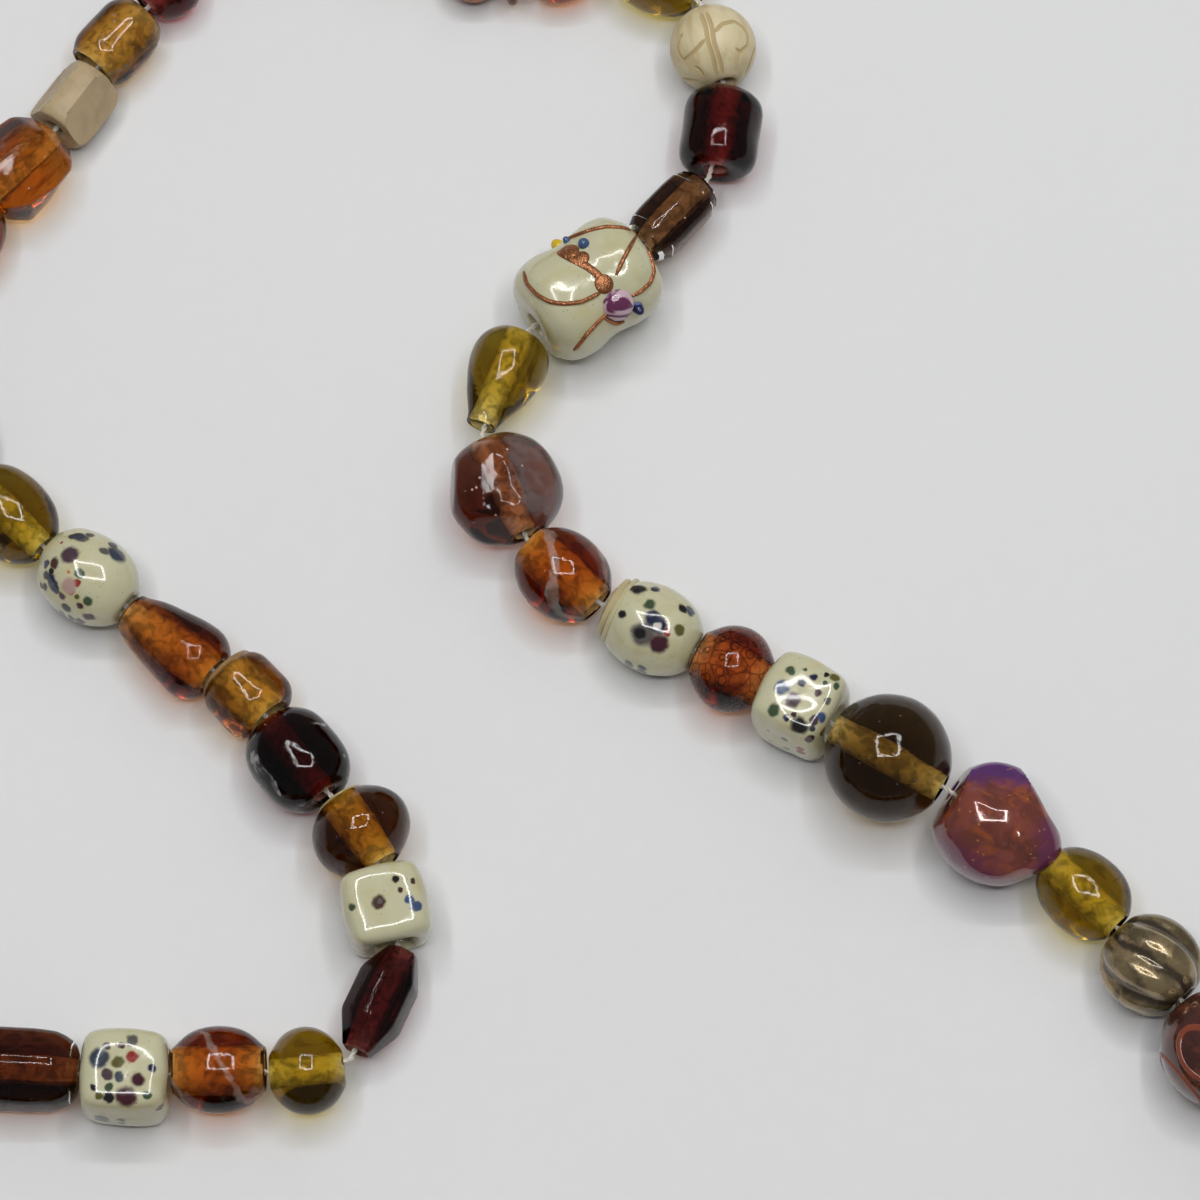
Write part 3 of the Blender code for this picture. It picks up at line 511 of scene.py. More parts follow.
def draw_bead(name, rings, sides):
    """A ring of points drawn out along the wire from one ring to the next, and closed on itself."""
    only(None)
    along, radius = rings[0]
    bpy.ops.mesh.primitive_circle_add(
        vertices=sides, radius=radius, location=(along, 0, 0), rotation=(0, math.pi / 2, 0))
    bead = bpy.context.object
    bead.name = name
    bpy.ops.object.transform_apply(location=True, rotation=True, scale=True)
    bpy.ops.object.mode_set(mode="EDIT")
    bpy.ops.mesh.select_all(action="SELECT")
    for next_along, next_radius in rings[1:]:
        bpy.ops.mesh.extrude_region_move(TRANSFORM_OT_translate={"value": (next_along - along, 0, 0)})
        grow = next_radius / radius
        bpy.ops.transform.resize(value=(1, grow, grow), center_override=(next_along, 0, 0))
        along, radius = next_along, next_radius
    close_up(0.001 * MM)
    return bead


def smooth_out(bead, levels):
    """Rounds a drawn bead, and gives back the width that this takes from it."""
    before = bead.dimensions.copy()
    apply_modifier(bead, "SUBSURF", levels=levels, render_levels=levels)
    after = bead.dimensions
    only(bead)
    bpy.ops.transform.resize(value=[was / now for was, now in zip(before, after)])
    bpy.ops.object.transform_apply(location=False, rotation=False, scale=True)


def flatten_to(bead, place):
    """Brings a round bead to its real height."""
    only(bead)
    bpy.ops.transform.resize(value=(1, 1, place.height / place.width))
    bpy.ops.object.transform_apply(location=False, rotation=False, scale=True)


def lay(bead, place):
    """Moves a bead from the workbench to its place on the strand."""
    only(bead)
    bead.location = middle_of(place)
    bead.rotation_euler = turn_of(place)
    bpy.ops.object.transform_apply(location=True, rotation=True, scale=True)


def sag(bead, strength, size, seed_name):
    """Lets the hot glass run a little out of shape."""
    flow = bpy.data.textures.new(seed_name, "CLOUDS")
    flow.noise_scale = size
    flow.noise_depth = 1
    apply_modifier(
        bead, "DISPLACE", texture=flow, strength=strength, mid_level=0.5, texture_coords="LOCAL")


def press(bead, spot, radius, depth, normal):
    """Presses a soft dent into a bead, or pulls a bump out of it where the depth is negative."""
    for vertex in bead.data.vertices:
        away = (vertex.co - spot).length / radius
        if away < 1:
            vertex.co -= normal * depth * (1 - away * away) ** 2
    bead.data.update()


def paddle(bead, place, flats):
    """Flattens a bead's sides as a paddle does in the flame."""
    for heading, rise, reach in flats:
        facing = Euler((0, -math.radians(rise), math.radians(heading))).to_matrix() @ Vector((1, 0, 0))
        for vertex in bead.data.vertices:
            over = (vertex.co - middle_of(place)).dot(facing) - reach * MM
            if over > 0:
                vertex.co -= facing * over * PADDLE_PUSH
    bead.data.update()


def press_in(bead, dents):
    """Presses dents where the shot shows them."""
    for across, down, radius, depth in dents:
        spot, normal = spot_on(bead, across, down)
        press(bead, spot, radius / SHOT_SCALE, depth * MM, normal)


def keep_in(bead):
    """Flattens what would reach past the solids' own box, such as a sagging foot."""
    low, high = CAD_BOX
    for vertex in bead.data.vertices:
        vertex.co = [min(max(at, least), most) for at, least, most in zip(vertex.co, low, high)]
    bead.data.update()


def finish_piece(bead, name, angle=40):
    """Shades a laid bead and hands its solid's place over to it."""
    keep_in(bead)
    only(bead)
    bpy.ops.object.shade_smooth_by_angle(angle=math.radians(angle))
    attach(bead, "root")
    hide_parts(name)


def line_bore(bead, place, material, bore=None):
    """Gives the wall of the hole its chalky lining."""
    bead.data.materials.append(material)
    lining = len(bead.data.materials) - 1
    middle = middle_of(place)
    axis = turn_of(place).to_matrix() @ Vector((1, 0, 0))
    reach = (bore or bpy.context.scene.necklace_sizes.bore) * LINED
    for face in bead.data.polygons:
        away = face.center - middle
        if (away - axis * away.dot(axis)).length < reach:
            face.material_index = lining


# The values between which a cloud pattern mostly lies
CLOUD_SPAN = (0.3, 0.7)
# Refraction of the glass, and the share of each lamp that a bead lets through
GLASS_IOR = 1.38
LAMP_SHARES = ((0.60, 0.60, 0.60), (0.74, 0.74, 0.74))


class Finish:
    """A material in the making. Patterns lie in the bead's own frame, in millimetres, X along its bore."""

    def __init__(self, name, place=None):
        self.material = bpy.data.materials.new(name)
        self.material.use_nodes = True
        self.tree = self.material.node_tree
        self.tree.nodes.clear()
        self.output = self.add("ShaderNodeOutputMaterial")
        centred = self.add("ShaderNodeMapping", vector_type="TEXTURE")
        centred.inputs["Scale"].default_value = (MM, MM, MM)
        if place is not None:
            centred.inputs["Location"].default_value = middle_of(place)
            centred.inputs["Rotation"].default_value = turn_of(place)
        self.join(self.add("ShaderNodeTexCoord").outputs["Object"], centred.inputs["Vector"])
        self.spot = centred.outputs["Vector"]

    def add(self, kind, **settings):
        """Adds a node."""
        made = self.tree.nodes.new(kind)
        for name, value in settings.items():
            setattr(made, name, value)
        return made

    def join(self, source, target):
        """Links a socket, or sets a plain value or colour."""
        if isinstance(source, bpy.types.NodeSocket):
            self.tree.links.new(source, target)
        elif isinstance(source, (tuple, list)) and target.type == "RGBA":
            target.default_value = (*source[:3], 1)
        else:
            target.default_value = source

    def stretched(self, stretch):
        """The bead's frame, stretched."""
        scaled = self.add("ShaderNodeMapping")
        scaled.inputs["Scale"].default_value = stretch
        self.join(self.spot, scaled.inputs["Vector"])
        return scaled.outputs["Vector"]

    def clouds(self, scale, detail=3.0, stretch=(1, 1, 1), swirl=0.6):
        """Soft clouds, from 0 to 1."""
        noise = self.add("ShaderNodeTexNoise")
        noise.inputs["Scale"].default_value = scale
        noise.inputs["Detail"].default_value = detail
        noise.inputs["Distortion"].default_value = swirl
        self.join(self.stretched(stretch), noise.inputs["Vector"])
        return noise.outputs["Fac"]

    def cells(self, scale, stretch=(1, 1, 1), feature="F1"):
        """Cells, with the distance from their middles."""
        voronoi = self.add("ShaderNodeTexVoronoi", feature=feature)
        voronoi.inputs["Scale"].default_value = scale
        self.join(self.stretched(stretch), voronoi.inputs["Vector"])
        return voronoi

    def between(self, value, low, high, start=0.0, end=1.0):
        """Leads a value softly from one number to another."""
        ranged = self.add("ShaderNodeMapRange", interpolation_type="SMOOTHSTEP")
        self.join(value, ranged.inputs["Value"])
        for socket, number in zip(("From Min", "From Max", "To Min", "To Max"), (low, high, start, end)):
            ranged.inputs[socket].default_value = number
        return ranged.outputs["Result"]

    def varied(self, scale, low, high):
        """A value that changes softly over the surface."""
        return self.between(self.clouds(scale), *CLOUD_SPAN, low, high)

    def reckon(self, operation, first, second, clamp=False):
        """Reckons with two values."""
        step = self.add("ShaderNodeMath", operation=operation, use_clamp=clamp)
        self.join(first, step.inputs[0])
        self.join(second, step.inputs[1])
        return step.outputs["Value"]

    def blend(self, share, under, over):
        """Lays one colour over another."""
        mix = self.add("ShaderNodeMix", data_type="RGBA")
        self.join(share, mix.inputs[0])
        self.join(under, mix.inputs[6])
        self.join(over, mix.inputs[7])
        return mix.outputs[2]

    def relief(self, height, strength, distance=0.1 * MM):
        """Fine unevenness of the surface."""
        bump = self.add("ShaderNodeBump")
        bump.inputs["Strength"].default_value = strength
        bump.inputs["Distance"].default_value = distance
        self.join(height, bump.inputs["Height"])
        return bump.outputs["Normal"]

    def shader(self, **sockets):
        """The main shader. Socket names are written with underscores for blanks."""
        surface = self.add("ShaderNodeBsdfPrincipled")
        for name, value in sockets.items():
            self.join(value, surface.inputs[name.replace("_", " ")])
        return surface.outputs["BSDF"]

    def done(self, surface):
        """Ends the material with its surface."""
        self.join(surface, self.output.inputs["Surface"])
        return self.material


# Radius of the rings of a veil, as a share of a cell
RING_RADIUS = 0.30


def veil_share(finish, veil):
    """How much of a veil covers each place, from 0 to its amount."""
    if veil.pattern == "cloud":
        value = finish.clouds(veil.scale, 4.0, veil.stretch, 1.2)
        return finish.between(value, veil.low, veil.high, 0.0, veil.amount)
    if veil.pattern == "side":
        across = finish.add("ShaderNodeVectorMath", operation="DOT_PRODUCT")
        finish.join(finish.spot, across.inputs[0])
        across.inputs[1].default_value = veil.stretch
        edge = finish.between(finish.clouds(0.5), 0.2, 0.8, -0.8, 0.8)
        ragged = finish.reckon("ADD", across.outputs["Value"], edge)
        return finish.between(ragged, veil.low, veil.high, 0.0, veil.amount)
    if veil.pattern == "spiral":
        parts = finish.add("ShaderNodeSeparateXYZ")
        finish.join(finish.spot, parts.inputs[0])
        turn = finish.reckon("ARCTAN2", parts.outputs["Y"], parts.outputs["Z"])
        climb = finish.reckon("MULTIPLY", parts.outputs["X"], veil.stretch[0])
        wave = finish.reckon("MULTIPLY", finish.reckon("ADD", turn, climb), veil.scale)
        wander = finish.varied(0.25, veil.stretch[1] - 0.5, veil.stretch[1] + 0.5)
        crest = finish.reckon("SINE", finish.reckon("ADD", wave, wander), 0.0)
        return finish.between(crest, veil.low, veil.high, 0.0, veil.amount)
    if veil.pattern in ("specks", "rings"):
        value = finish.cells(veil.scale, veil.stretch).outputs["Distance"]
        if veil.pattern == "rings":
            value = finish.reckon("ABSOLUTE", finish.reckon("SUBTRACT", value, RING_RADIUS), 0.0)
        return finish.between(value, veil.low, veil.high, veil.amount, 0.0)
    value = finish.cells(veil.scale, veil.stretch, "DISTANCE_TO_EDGE").outputs["Distance"]
    return finish.between(value, veil.low, veil.high, veil.amount, 0.0)


def glass_finish(name, place, glass, veils):
    """Clear coloured glass that lets lamps through, with veils of other colours near its surface."""
    finish = Finish(name, place)
    grain = finish.clouds(0.8, 2.0)
    colour = finish.blend(grain, (0.93, 0.93, 0.93), (1.0, 1.0, 1.0))
    clear = 1.0
    for veil in veils:
        share = veil_share(finish, veil)
        colour = finish.blend(share, colour, veil.colour)
        if veil.body:
            clear = finish.reckon("SUBTRACT", clear, finish.reckon("MULTIPLY", share, veil.body), clamp=True)
    roughness = finish.varied(1.6, glass.roughness * 0.6, glass.roughness * 1.6)
    surface = finish.shader(
        Base_Color=colour, Roughness=roughness, IOR=GLASS_IOR, Transmission_Weight=clear,
        Normal=finish.relief(finish.clouds(0.9, 4.0), 0.25))
    through = finish.add("ShaderNodeBsdfTransparent")
    finish.join(finish.blend(grain, *LAMP_SHARES), through.inputs["Color"])
    lamps = finish.add("ShaderNodeLightPath")
    split = finish.add("ShaderNodeMixShader")
    finish.join(lamps.outputs["Is Shadow Ray"], split.inputs["Fac"])
    finish.join(surface, split.inputs[1])
    finish.join(through.outputs["BSDF"], split.inputs[2])
    body = finish.add("ShaderNodeVolumeAbsorption")
    body.inputs["Color"].default_value = (*glass.passes, 1)
    body.inputs["Density"].default_value = glass.depth
    finish.join(body.outputs["Volume"], finish.output.inputs["Volume"])
    return finish.done(split.outputs["Shader"])


def lining_finish(name, colour):
    """Chalky release that lines the hole of a wound glass bead."""
    finish = Finish(name)
    deep = tuple(0.45 * part for part in colour)
    return finish.done(finish.shader(
        Base_Color=finish.blend(finish.between(finish.clouds(0.9, 6.0), 0.35, 0.60), deep, colour),
        Roughness=finish.varied(3.0, 0.75, 0.95),
        Normal=finish.relief(finish.clouds(4.0), 0.4)))


def cream_glass(finish, colours):
    """Ground colour of opaque cream glass: soft clouds and a few fine specks."""
    ground = finish.blend(
        finish.between(finish.clouds(0.22, 3.0), 0.42, 0.70), tuple(colours.cream),
        tuple(colours.cream_shade))
    fine = finish.cells(1.3)
    share = finish.between(fine.outputs["Distance"], 0.05, 0.11, 0.8, 0.0)
    return finish.blend(share, ground, (0.16, 0.10, 0.07))


def speckled_finish(name, place, bead, chart):
    """Opaque cream glass with melted speckles and painted highlights. The chart of the upper side serves the
    lower side too.
    """
    finish = Finish(name, place)
    colours = bpy.context.scene.necklace_colours
    colour = cream_glass(finish, colours)
    apart = finish.add("ShaderNodeSeparateXYZ")
    finish.join(finish.spot, apart.inputs["Vector"])
    folded = finish.add("ShaderNodeCombineXYZ")
    finish.join(apart.outputs["X"], folded.inputs["X"])
    finish.join(apart.outputs["Y"], folded.inputs["Y"])
    finish.join(finish.reckon("ABSOLUTE", apart.outputs["Z"], 0.0), folded.inputs["Z"])
    wobble = finish.add("ShaderNodeTexNoise")
    wobble.inputs["Scale"].default_value = 0.9
    finish.join(finish.spot, wobble.inputs["Vector"])
    shifted = finish.add("ShaderNodeVectorMath", operation="MULTIPLY_ADD")
    finish.join(wobble.outputs["Color"], shifted.inputs[0])
    shifted.inputs[1].default_value = (0.7, 0.7, 0.7)
    finish.join(folded.outputs["Vector"], shifted.inputs[2])
    to_bead = turn_of(place).to_matrix().inverted()
    for across, down, radius, paint in chart:
        spot, _ = spot_on(bead, across, down)
        local = to_bead @ (spot - middle_of(place)) / MM
        local.z = abs(local.z)
        measure = finish.add("ShaderNodeVectorMath", operation="DISTANCE")
        finish.join(shifted.outputs["Vector"], measure.inputs[0])
        measure.inputs[1].default_value = local + Vector((0.35, 0.35, 0.35))
        size = radius / SHOT_SCALE / MM
        share = finish.between(measure.outputs["Value"], size * 0.7, size * 1.25, 1.0, 0.0)
        colour = finish.blend(share, colour, SPECKLES[paint])
    return finish.done(finish.shader(
        Base_Color=colour, Roughness=finish.varied(1.2, 0.08, 0.20),
        Subsurface_Weight=0.15, Subsurface_Scale=1.0 * MM, Coat_Weight=0.5, Coat_Roughness=0.03,
        Normal=finish.relief(finish.clouds(0.6), 0.2)))


def turned_bead(name, outline, place, sizes, bore=None):
    """A round bead of wound glass on its place."""
    bead = draw_bead(f"{name}_bead", bead_rings(outline, place, sizes, bore), sizes.sides)
    smooth_out(bead, sizes.smoothing)
    flatten_to(bead, place)
    lay(bead, place)
    return bead


def ring_round(name, place, along, reach, radius):
    """A round bar all the way round a bead, at a share of its half length and of its half width."""
    to_world = turn_of(place).to_matrix()
    spots = []
    for i in range(33):
        turn = 2 * math.pi * i / 32
        local = Vector((along * place.length, reach * math.cos(turn) * place.width,
                        reach * math.sin(turn) * place.height))
        spots.append(middle_of(place) + to_world @ local * MM / 2)
    return bar_through(name, spots, radius, even=True)


def collar(place, along, reach, radius, colour, shade):
    """A collar of opaque glass round a bead's mouth."""
    made = ring_round("collar", place, along, reach, radius)
    finish = Finish("collar_glass")
    made.data.materials.append(finish.done(finish.shader(
        Base_Color=finish.blend(finish.clouds(0.9), colour, shade),
        Roughness=finish.varied(2.0, 0.12, 0.3))))
    return made


def fill_with_glass(bead, name, place, kind, bore=None):
    """Gives a bead its clear glass and the lining of its hole."""
    bead.data.materials.append(glass_finish(f"{name}_glass", place, kind.glass, kind.veils))
    line_bore(bead, place, lining_finish(f"{name}_lining", kind.glass.lining), bore)


class NECKLACE_OT_turned_beads(bpy.types.Operator):
    """Winds the round, oval, tube, cone and drop beads of clear glass"""

    bl_idname = "necklace.turned_beads"
    bl_label = "Turned glass beads"

    def execute(self, context):
        sizes = context.scene.necklace_sizes
        for name, kind in TURNED.items():
            place = STRAND[name]
            bead = turned_bead(name, kind.outline, place, sizes, kind.bore * MM)
            sag(bead, sizes.unevenness, 5 * MM, f"{name}_flow")
            fill_with_glass(bead, name, place, kind, kind.bore * MM)
            if name == "collared_amber_tube":
                join_to(bead, [collar(place, 0.93, 0.70, 0.45 * MM, (0.34, 0.22, 0.10), (0.24, 0.13, 0.05))])
            if name == "smoky_amber_round":
                join_to(bead, [collar(place, 0.90, 0.45, 0.35 * MM, (0.46, 0.38, 0.20), (0.36, 0.25, 0.10))])
            finish_piece(bead, name)
        return {"FINISHED"}


def cube_bead(name, place, sizes):
    """A rounded cube of glass, pierced from one end to the other."""
    only(None)
    bpy.ops.mesh.primitive_cube_add(size=1, scale=(place.length * MM, place.width * MM, place.height * MM))
    bead = bpy.context.object
    bead.name = f"{name}_bead"
    bpy.ops.object.transform_apply(location=True, rotation=True, scale=True)
    bpy.ops.object.mode_set(mode="EDIT")
    bpy.ops.mesh.select_all(action="SELECT")
    bpy.ops.mesh.subdivide(number_cuts=3)
    bpy.ops.transform.tosphere(value=CUBE_ROUNDING)
    pierced = place.width * MM / 4 * 1.3

    def on_hole(face):
        return abs(face.normal.x) > 0.8 and math.hypot(face.center.y, face.center.z) < pierced

    pick(bead, on_hole, "FACE")
    bpy.ops.mesh.delete(type="FACE")
    bpy.ops.mesh.select_mode(type="EDGE")
    bpy.ops.mesh.select_all(action="DESELECT")
    bpy.ops.mesh.select_non_manifold()
    bpy.ops.mesh.bridge_edge_loops(number_cuts=3)
    bpy.ops.object.mode_set(mode="OBJECT")
    for vertex in bead.data.vertices:
        across = math.hypot(vertex.co.y, vertex.co.z)
        if across < pierced * 1.15:
            end = abs(vertex.co.x) > place.length * MM * 0.4
            radius = sizes.mouth * 1.15 if end else sizes.bore * 1.08
            vertex.co.y *= radius / across
            vertex.co.z *= radius / across
    smooth_out(bead, sizes.smoothing)
    return bead


class NECKLACE_OT_speckled_beads(bpy.types.Operator):
    """Makes the cream ovals and rounded cubes with melted speckles"""

    bl_idname = "necklace.speckled_beads"
    bl_label = "Speckled cream beads"

    def execute(self, context):
        sizes = context.scene.necklace_sizes
        for name, chart in SPECKLED.items():
            place = STRAND[name]
            if "oval" in name:
                bead = turned_bead(name, OVAL, place, sizes)
            else:
                bead = cube_bead(name, place._replace(width=min(place.width, CUBE_WIDTH)), sizes)
                lay(bead, place)
                top = middle_of(place) + Vector((0, 0, place.height / 2 * MM))
                press(bead, top, CUBE_DISH, CUBE_DISH_DEPTH, Vector((0, 0, 1)))
            sag(bead, sizes.unevenness * 1.5, 4 * MM, f"{name}_flow")
            bead.data.materials.append(speckled_finish(f"{name}_glaze", place, bead, chart))
            if name == "speckled_oval_right":
                join_to(bead, [
                    collar(place, -0.86, 0.66, 0.38 * MM, (0.52, 0.45, 0.26), (0.44, 0.34, 0.17)),
                    collar(place, -0.72, 0.775, 0.30 * MM, (0.54, 0.49, 0.30), (0.48, 0.40, 0.22))])
            finish_piece(bead, name)
        return {"FINISHED"}


# A bead with flat sides: its rings as share of the half length and of the half width, how many sides,
# how its first ridge is turned about the bore, how far the ridges twist along it, and their rounding
Faceted = namedtuple("Faceted", "rings sides turn twist rounding glass slot veils")
FACETED = {
    "brown_hexagon": Faceted(
        ((-1.0, 0.62), (-0.80, 0.92), (-0.5, 1.0), (0.5, 1.0), (0.80, 0.92), (1.0, 0.62)), 6, 30, 0, 1.1,
        BROWN, "brown", (DARK_FLOW,)),
    "smoky_hexagon_tube": Faceted(
        ((-1.0, 0.66), (-0.82, 0.92), (-0.5, 1.0), (0.5, 1.0), (0.82, 0.92), (1.0, 0.66)), 6, 30, 0, 0.9,
        TEA, "smoke", (DARK_FLOW, GOLD_DUST)),
    "burgundy_bicone": Faceted(
        ((-1.0, 0.50), (-0.42, 1.0), (0.42, 1.0), (1.0, 0.50)), 6, 20, 0, 0.35,
        WINE, "garnet", (Veil("cloud", (0.40, 0.20, 0.22), 0.5, 0.30, 0.50, 0.68, (0.5, 1.6, 1.6)),)),
    "amber_nugget": Faceted(
        ((-1.0, 0.55), (-0.62, 0.95), (0.10, 1.0), (0.70, 0.88), (1.0, 0.55)), 5, 14, 26, 0.5,
        AMBER_ROUGH, "amber", (
            Veil("side", (0.20, 0.06, 0.025), 0.9, 1.0, 1.8, 3.0, (0.1, 0.95, 0.2)),
            Veil("cloud", (0.40, 0.18, 0.06), 0.7, 0.5, 0.50, 0.62, (0.5, 1.8, 1.8)), GOLD_DUST)),
}


def draw_faceted(name, kind, place, sizes):
    """A bead with flat sides on the workbench, its ridges rounded by a bevel."""
    half = place.length * MM / 2
    wide = place.width * MM / 2
    rings = [(-half + MOUTH_DEPTH, sizes.bore), (-half, sizes.bore * LIP_FLARE)]
    rings += [(along * half, reach * wide) for along, reach in kind.rings]
    rings += [(half, sizes.bore * LIP_FLARE), (half - MOUTH_DEPTH, sizes.bore), rings[0]]
    bead = draw_bead(name, rings, kind.sides)
    flatten_to(bead, place)
    only(bead)
    bead.rotation_euler.x = math.radians(kind.turn)
    bpy.ops.object.transform_apply(location=False, rotation=True, scale=False)
    walls = sizes.mouth * 1.05

    def on_wall(vertex):
        return math.hypot(vertex.co.y, vertex.co.z) > walls

    pick(bead, on_wall)
    bpy.ops.mesh.bevel(offset=kind.rounding * MM, segments=5, affect="EDGES")
    bpy.ops.object.mode_set(mode="OBJECT")
    if kind.twist:
        apply_modifier(
            bead, "SIMPLE_DEFORM", deform_method="TWIST", deform_axis="X", angle=math.radians(kind.twist))
    return bead


class NECKLACE_OT_faceted_beads(bpy.types.Operator):
    """Makes the glass beads with flat sides"""

    bl_idname = "necklace.faceted_beads"
    bl_label = "Faceted glass beads"

    def execute(self, context):
        sizes = context.scene.necklace_sizes
        for name, kind in FACETED.items():
            place = STRAND[name]
            bead = draw_faceted(f"{name}_bead", kind, place, sizes)
            lay(bead, place)
            fill_with_glass(bead, name, place, kind)
            finish_piece(bead, name, 30)
        return {"FINISHED"}


# Flat cuts of the prism: turn about the bore in degrees, distance from the middle in millimetres
PRISM_CUTS = ((-90, 2.85), (30, 2.85), (150, 2.85))


def cut_flats(bead, cuts):
    """Grinds flat sides onto a bead on the workbench."""
    only(bead)
    bpy.ops.object.mode_set(mode="EDIT")
    for turn, reach in cuts:
        facing = Vector((0, math.cos(math.radians(turn)), math.sin(math.radians(turn))))
        bpy.ops.mesh.select_all(action="SELECT")
        bpy.ops.mesh.bisect(plane_co=facing * reach * MM, plane_no=facing, use_fill=True, clear_outer=True)
    bpy.ops.object.mode_set(mode="OBJECT")


class NECKLACE_OT_stone_prism(bpy.types.Operator):
    """Makes the three-sided prism of polished beige stone"""

    bl_idname = "necklace.stone_prism"
    bl_label = "Stone prism"

    def execute(self, context):
        sizes = context.scene.necklace_sizes
        colours = context.scene.necklace_colours
        name = "beige_prism"
        place = STRAND[name]
        bead = draw_bead(f"{name}_bead", bead_rings(STICK, place, sizes), sizes.sides)
        smooth_out(bead, sizes.smoothing)
        flatten_to(bead, place)
        cut_flats(bead, PRISM_CUTS)
        lay(bead, place)
        finish = Finish("polished_stone", place)
        ground = finish.blend(
            finish.between(finish.clouds(0.3, 5.0), 0.35, 0.7), tuple(colours.stone), (0.36, 0.27, 0.15))
        pores = finish.cells(2.2).outputs["Distance"]
        ground = finish.blend(finish.between(pores, 0.05, 0.16, 0.5, 0.0), ground, (0.25, 0.17, 0.12))
        bead.data.materials.append(finish.done(finish.shader(
            Base_Color=ground, Roughness=finish.varied(2.0, 0.36, 0.55),
            Normal=finish.relief(finish.clouds(3.0), 0.3))))
        finish_piece(bead, name, 30)
        return {"FINISHED"}


# Ribs of the melon bead: how many, how near its valleys lie to the bore, how far they turn along it
RIBS = 7
VALLEY = 0.80
RIB_TWIST = math.radians(-38)


class NECKLACE_OT_melon_bead(bpy.types.Operator):
    """Presses turning ribs into the grey-olive melon bead"""

    bl_idname = "necklace.melon_bead"
    bl_label = "Melon bead"

    def execute(self, context):
        sizes = context.scene.necklace_sizes
        name = "olive_melon"
        place = STRAND[name]
        bead = draw_bead(f"{name}_bead", bead_rings(OVAL, place, sizes), RIBS * 4)
        step = 2 * math.pi / RIBS

        def in_valley(vertex):
            angle = math.atan2(vertex.co.z, vertex.co.y) % step
            outside = math.hypot(vertex.co.y, vertex.co.z) > sizes.mouth * 1.02
            return outside and min(angle, step - angle) < step / 8

        pick(bead, in_valley)
        bpy.ops.transform.resize(value=(1, VALLEY, VALLEY), center_override=(0, 0, 0))
        smooth_out(bead, sizes.smoothing)
        apply_modifier(bead, "SIMPLE_DEFORM", deform_method="TWIST", deform_axis="X", angle=RIB_TWIST)
        lay(bead, place)
        finish = Finish("melon_luster", place)
        ground = finish.blend(
            finish.between(finish.clouds(0.35, 4.0), 0.4, 0.65), (0.33, 0.245, 0.13), (0.14, 0.105, 0.055))
        ground = finish.blend(finish.between(finish.clouds(0.6, 3.0), 0.6, 0.75), ground, (0.40, 0.28, 0.14))
        # Painted shade: darker lines along the valleys between the ribs
        valleys = Veil("spiral", (0.06, 0.045, 0.03), 0.9, RIBS, 0.45, 0.98, (-0.066, math.pi, 0.0), 0.0)
        ground = finish.blend(veil_share(finish, valleys), ground, valleys.colour)
        bead.data.materials.append(finish.done(finish.shader(
            Base_Color=ground, Metallic=0.6,
            Roughness=finish.varied(1.4, 0.14, 0.32),
            Coat_Weight=0.6, Coat_Roughness=0.08, Normal=finish.relief(finish.clouds(1.8), 0.25))))
        finish_piece(bead, name)
        return {"FINISHED"}


def traced(name, bead, line, radius, sink, steps=3):
    """A round bar laid along a line of the shot on a bead's wall, as a mesh."""
    spots = []
    for start, end in zip(line, line[1:]):
        for i in range(steps):
            share = i / steps
            across = start[0] + (end[0] - start[0]) * share
            down = start[1] + (end[1] - start[1]) * share
            spot, normal = spot_on(bead, across, down)
            spots.append(spot - normal * sink)
    return bar_through(name, spots, radius)


def bar_through(name, spots, radius, resolution=2, even=False):
    """A round bar through points, made a mesh. Its ends taper unless it is even."""
    only(None)
    bpy.ops.curve.primitive_nurbs_path_add(location=(0, 0, 0))
    bar = bpy.context.object
    bar.name = name
    curve = bar.data
    curve.splines.clear()
    spline = curve.splines.new("NURBS")
    spline.points.add(len(spots) - 1)
    for point, spot in zip(spline.points, spots):
        point.co = (*spot, 1)
    spline.use_endpoint_u = True
    spline.order_u = 4
    spline.resolution_u = 2
    if not even:
        spline.points[0].radius = 0.5
        spline.points[-1].radius = 0.5
    curve.dimensions = "3D"
    curve.bevel_depth = radius
    curve.bevel_resolution = resolution
    curve.use_fill_caps = True
    only(bar)
    bpy.ops.object.convert(target="MESH")
    bpy.ops.object.mode_set(mode="EDIT")
    close_up(0.002 * MM)
    return bpy.context.object


def join_to(bead, parts):
    """Joins parts to a bead as one piece."""
    only(bead)
    for part in parts:
        part.select_set(True)
    bpy.ops.object.join()


def copper_glitter(place=None):
    """Copper glass full of glittering grains."""
    finish = Finish("copper_glitter", place)
    copper = tuple(bpy.context.scene.necklace_colours.copper)
    grains = finish.cells(5.5)
    spark = finish.between(grains.outputs["Distance"], 0.10, 0.30, 1.0, 0.0)
    colour = finish.blend(finish.clouds(0.9), (0.16, 0.05, 0.02), copper)
    colour = finish.blend(spark, colour, (0.95, 0.62, 0.30))
    return finish.done(finish.shader(
        Base_Color=colour, Metallic=0.7, Roughness=finish.varied(6.0, 0.18, 0.45),
        Normal=finish.relief(grains.outputs["Distance"], 0.5)))


def drop_glass(name, colour, swirl):
    """An opaque drop of two colours swirled together."""
    finish = Finish(name)
    ground = finish.blend(finish.between(finish.clouds(0.28, 1.0, swirl=2.0), 0.52, 0.60), colour, swirl)
    return finish.done(finish.shader(
        Base_Color=ground, Roughness=finish.varied(2.0, 0.06, 0.15)))


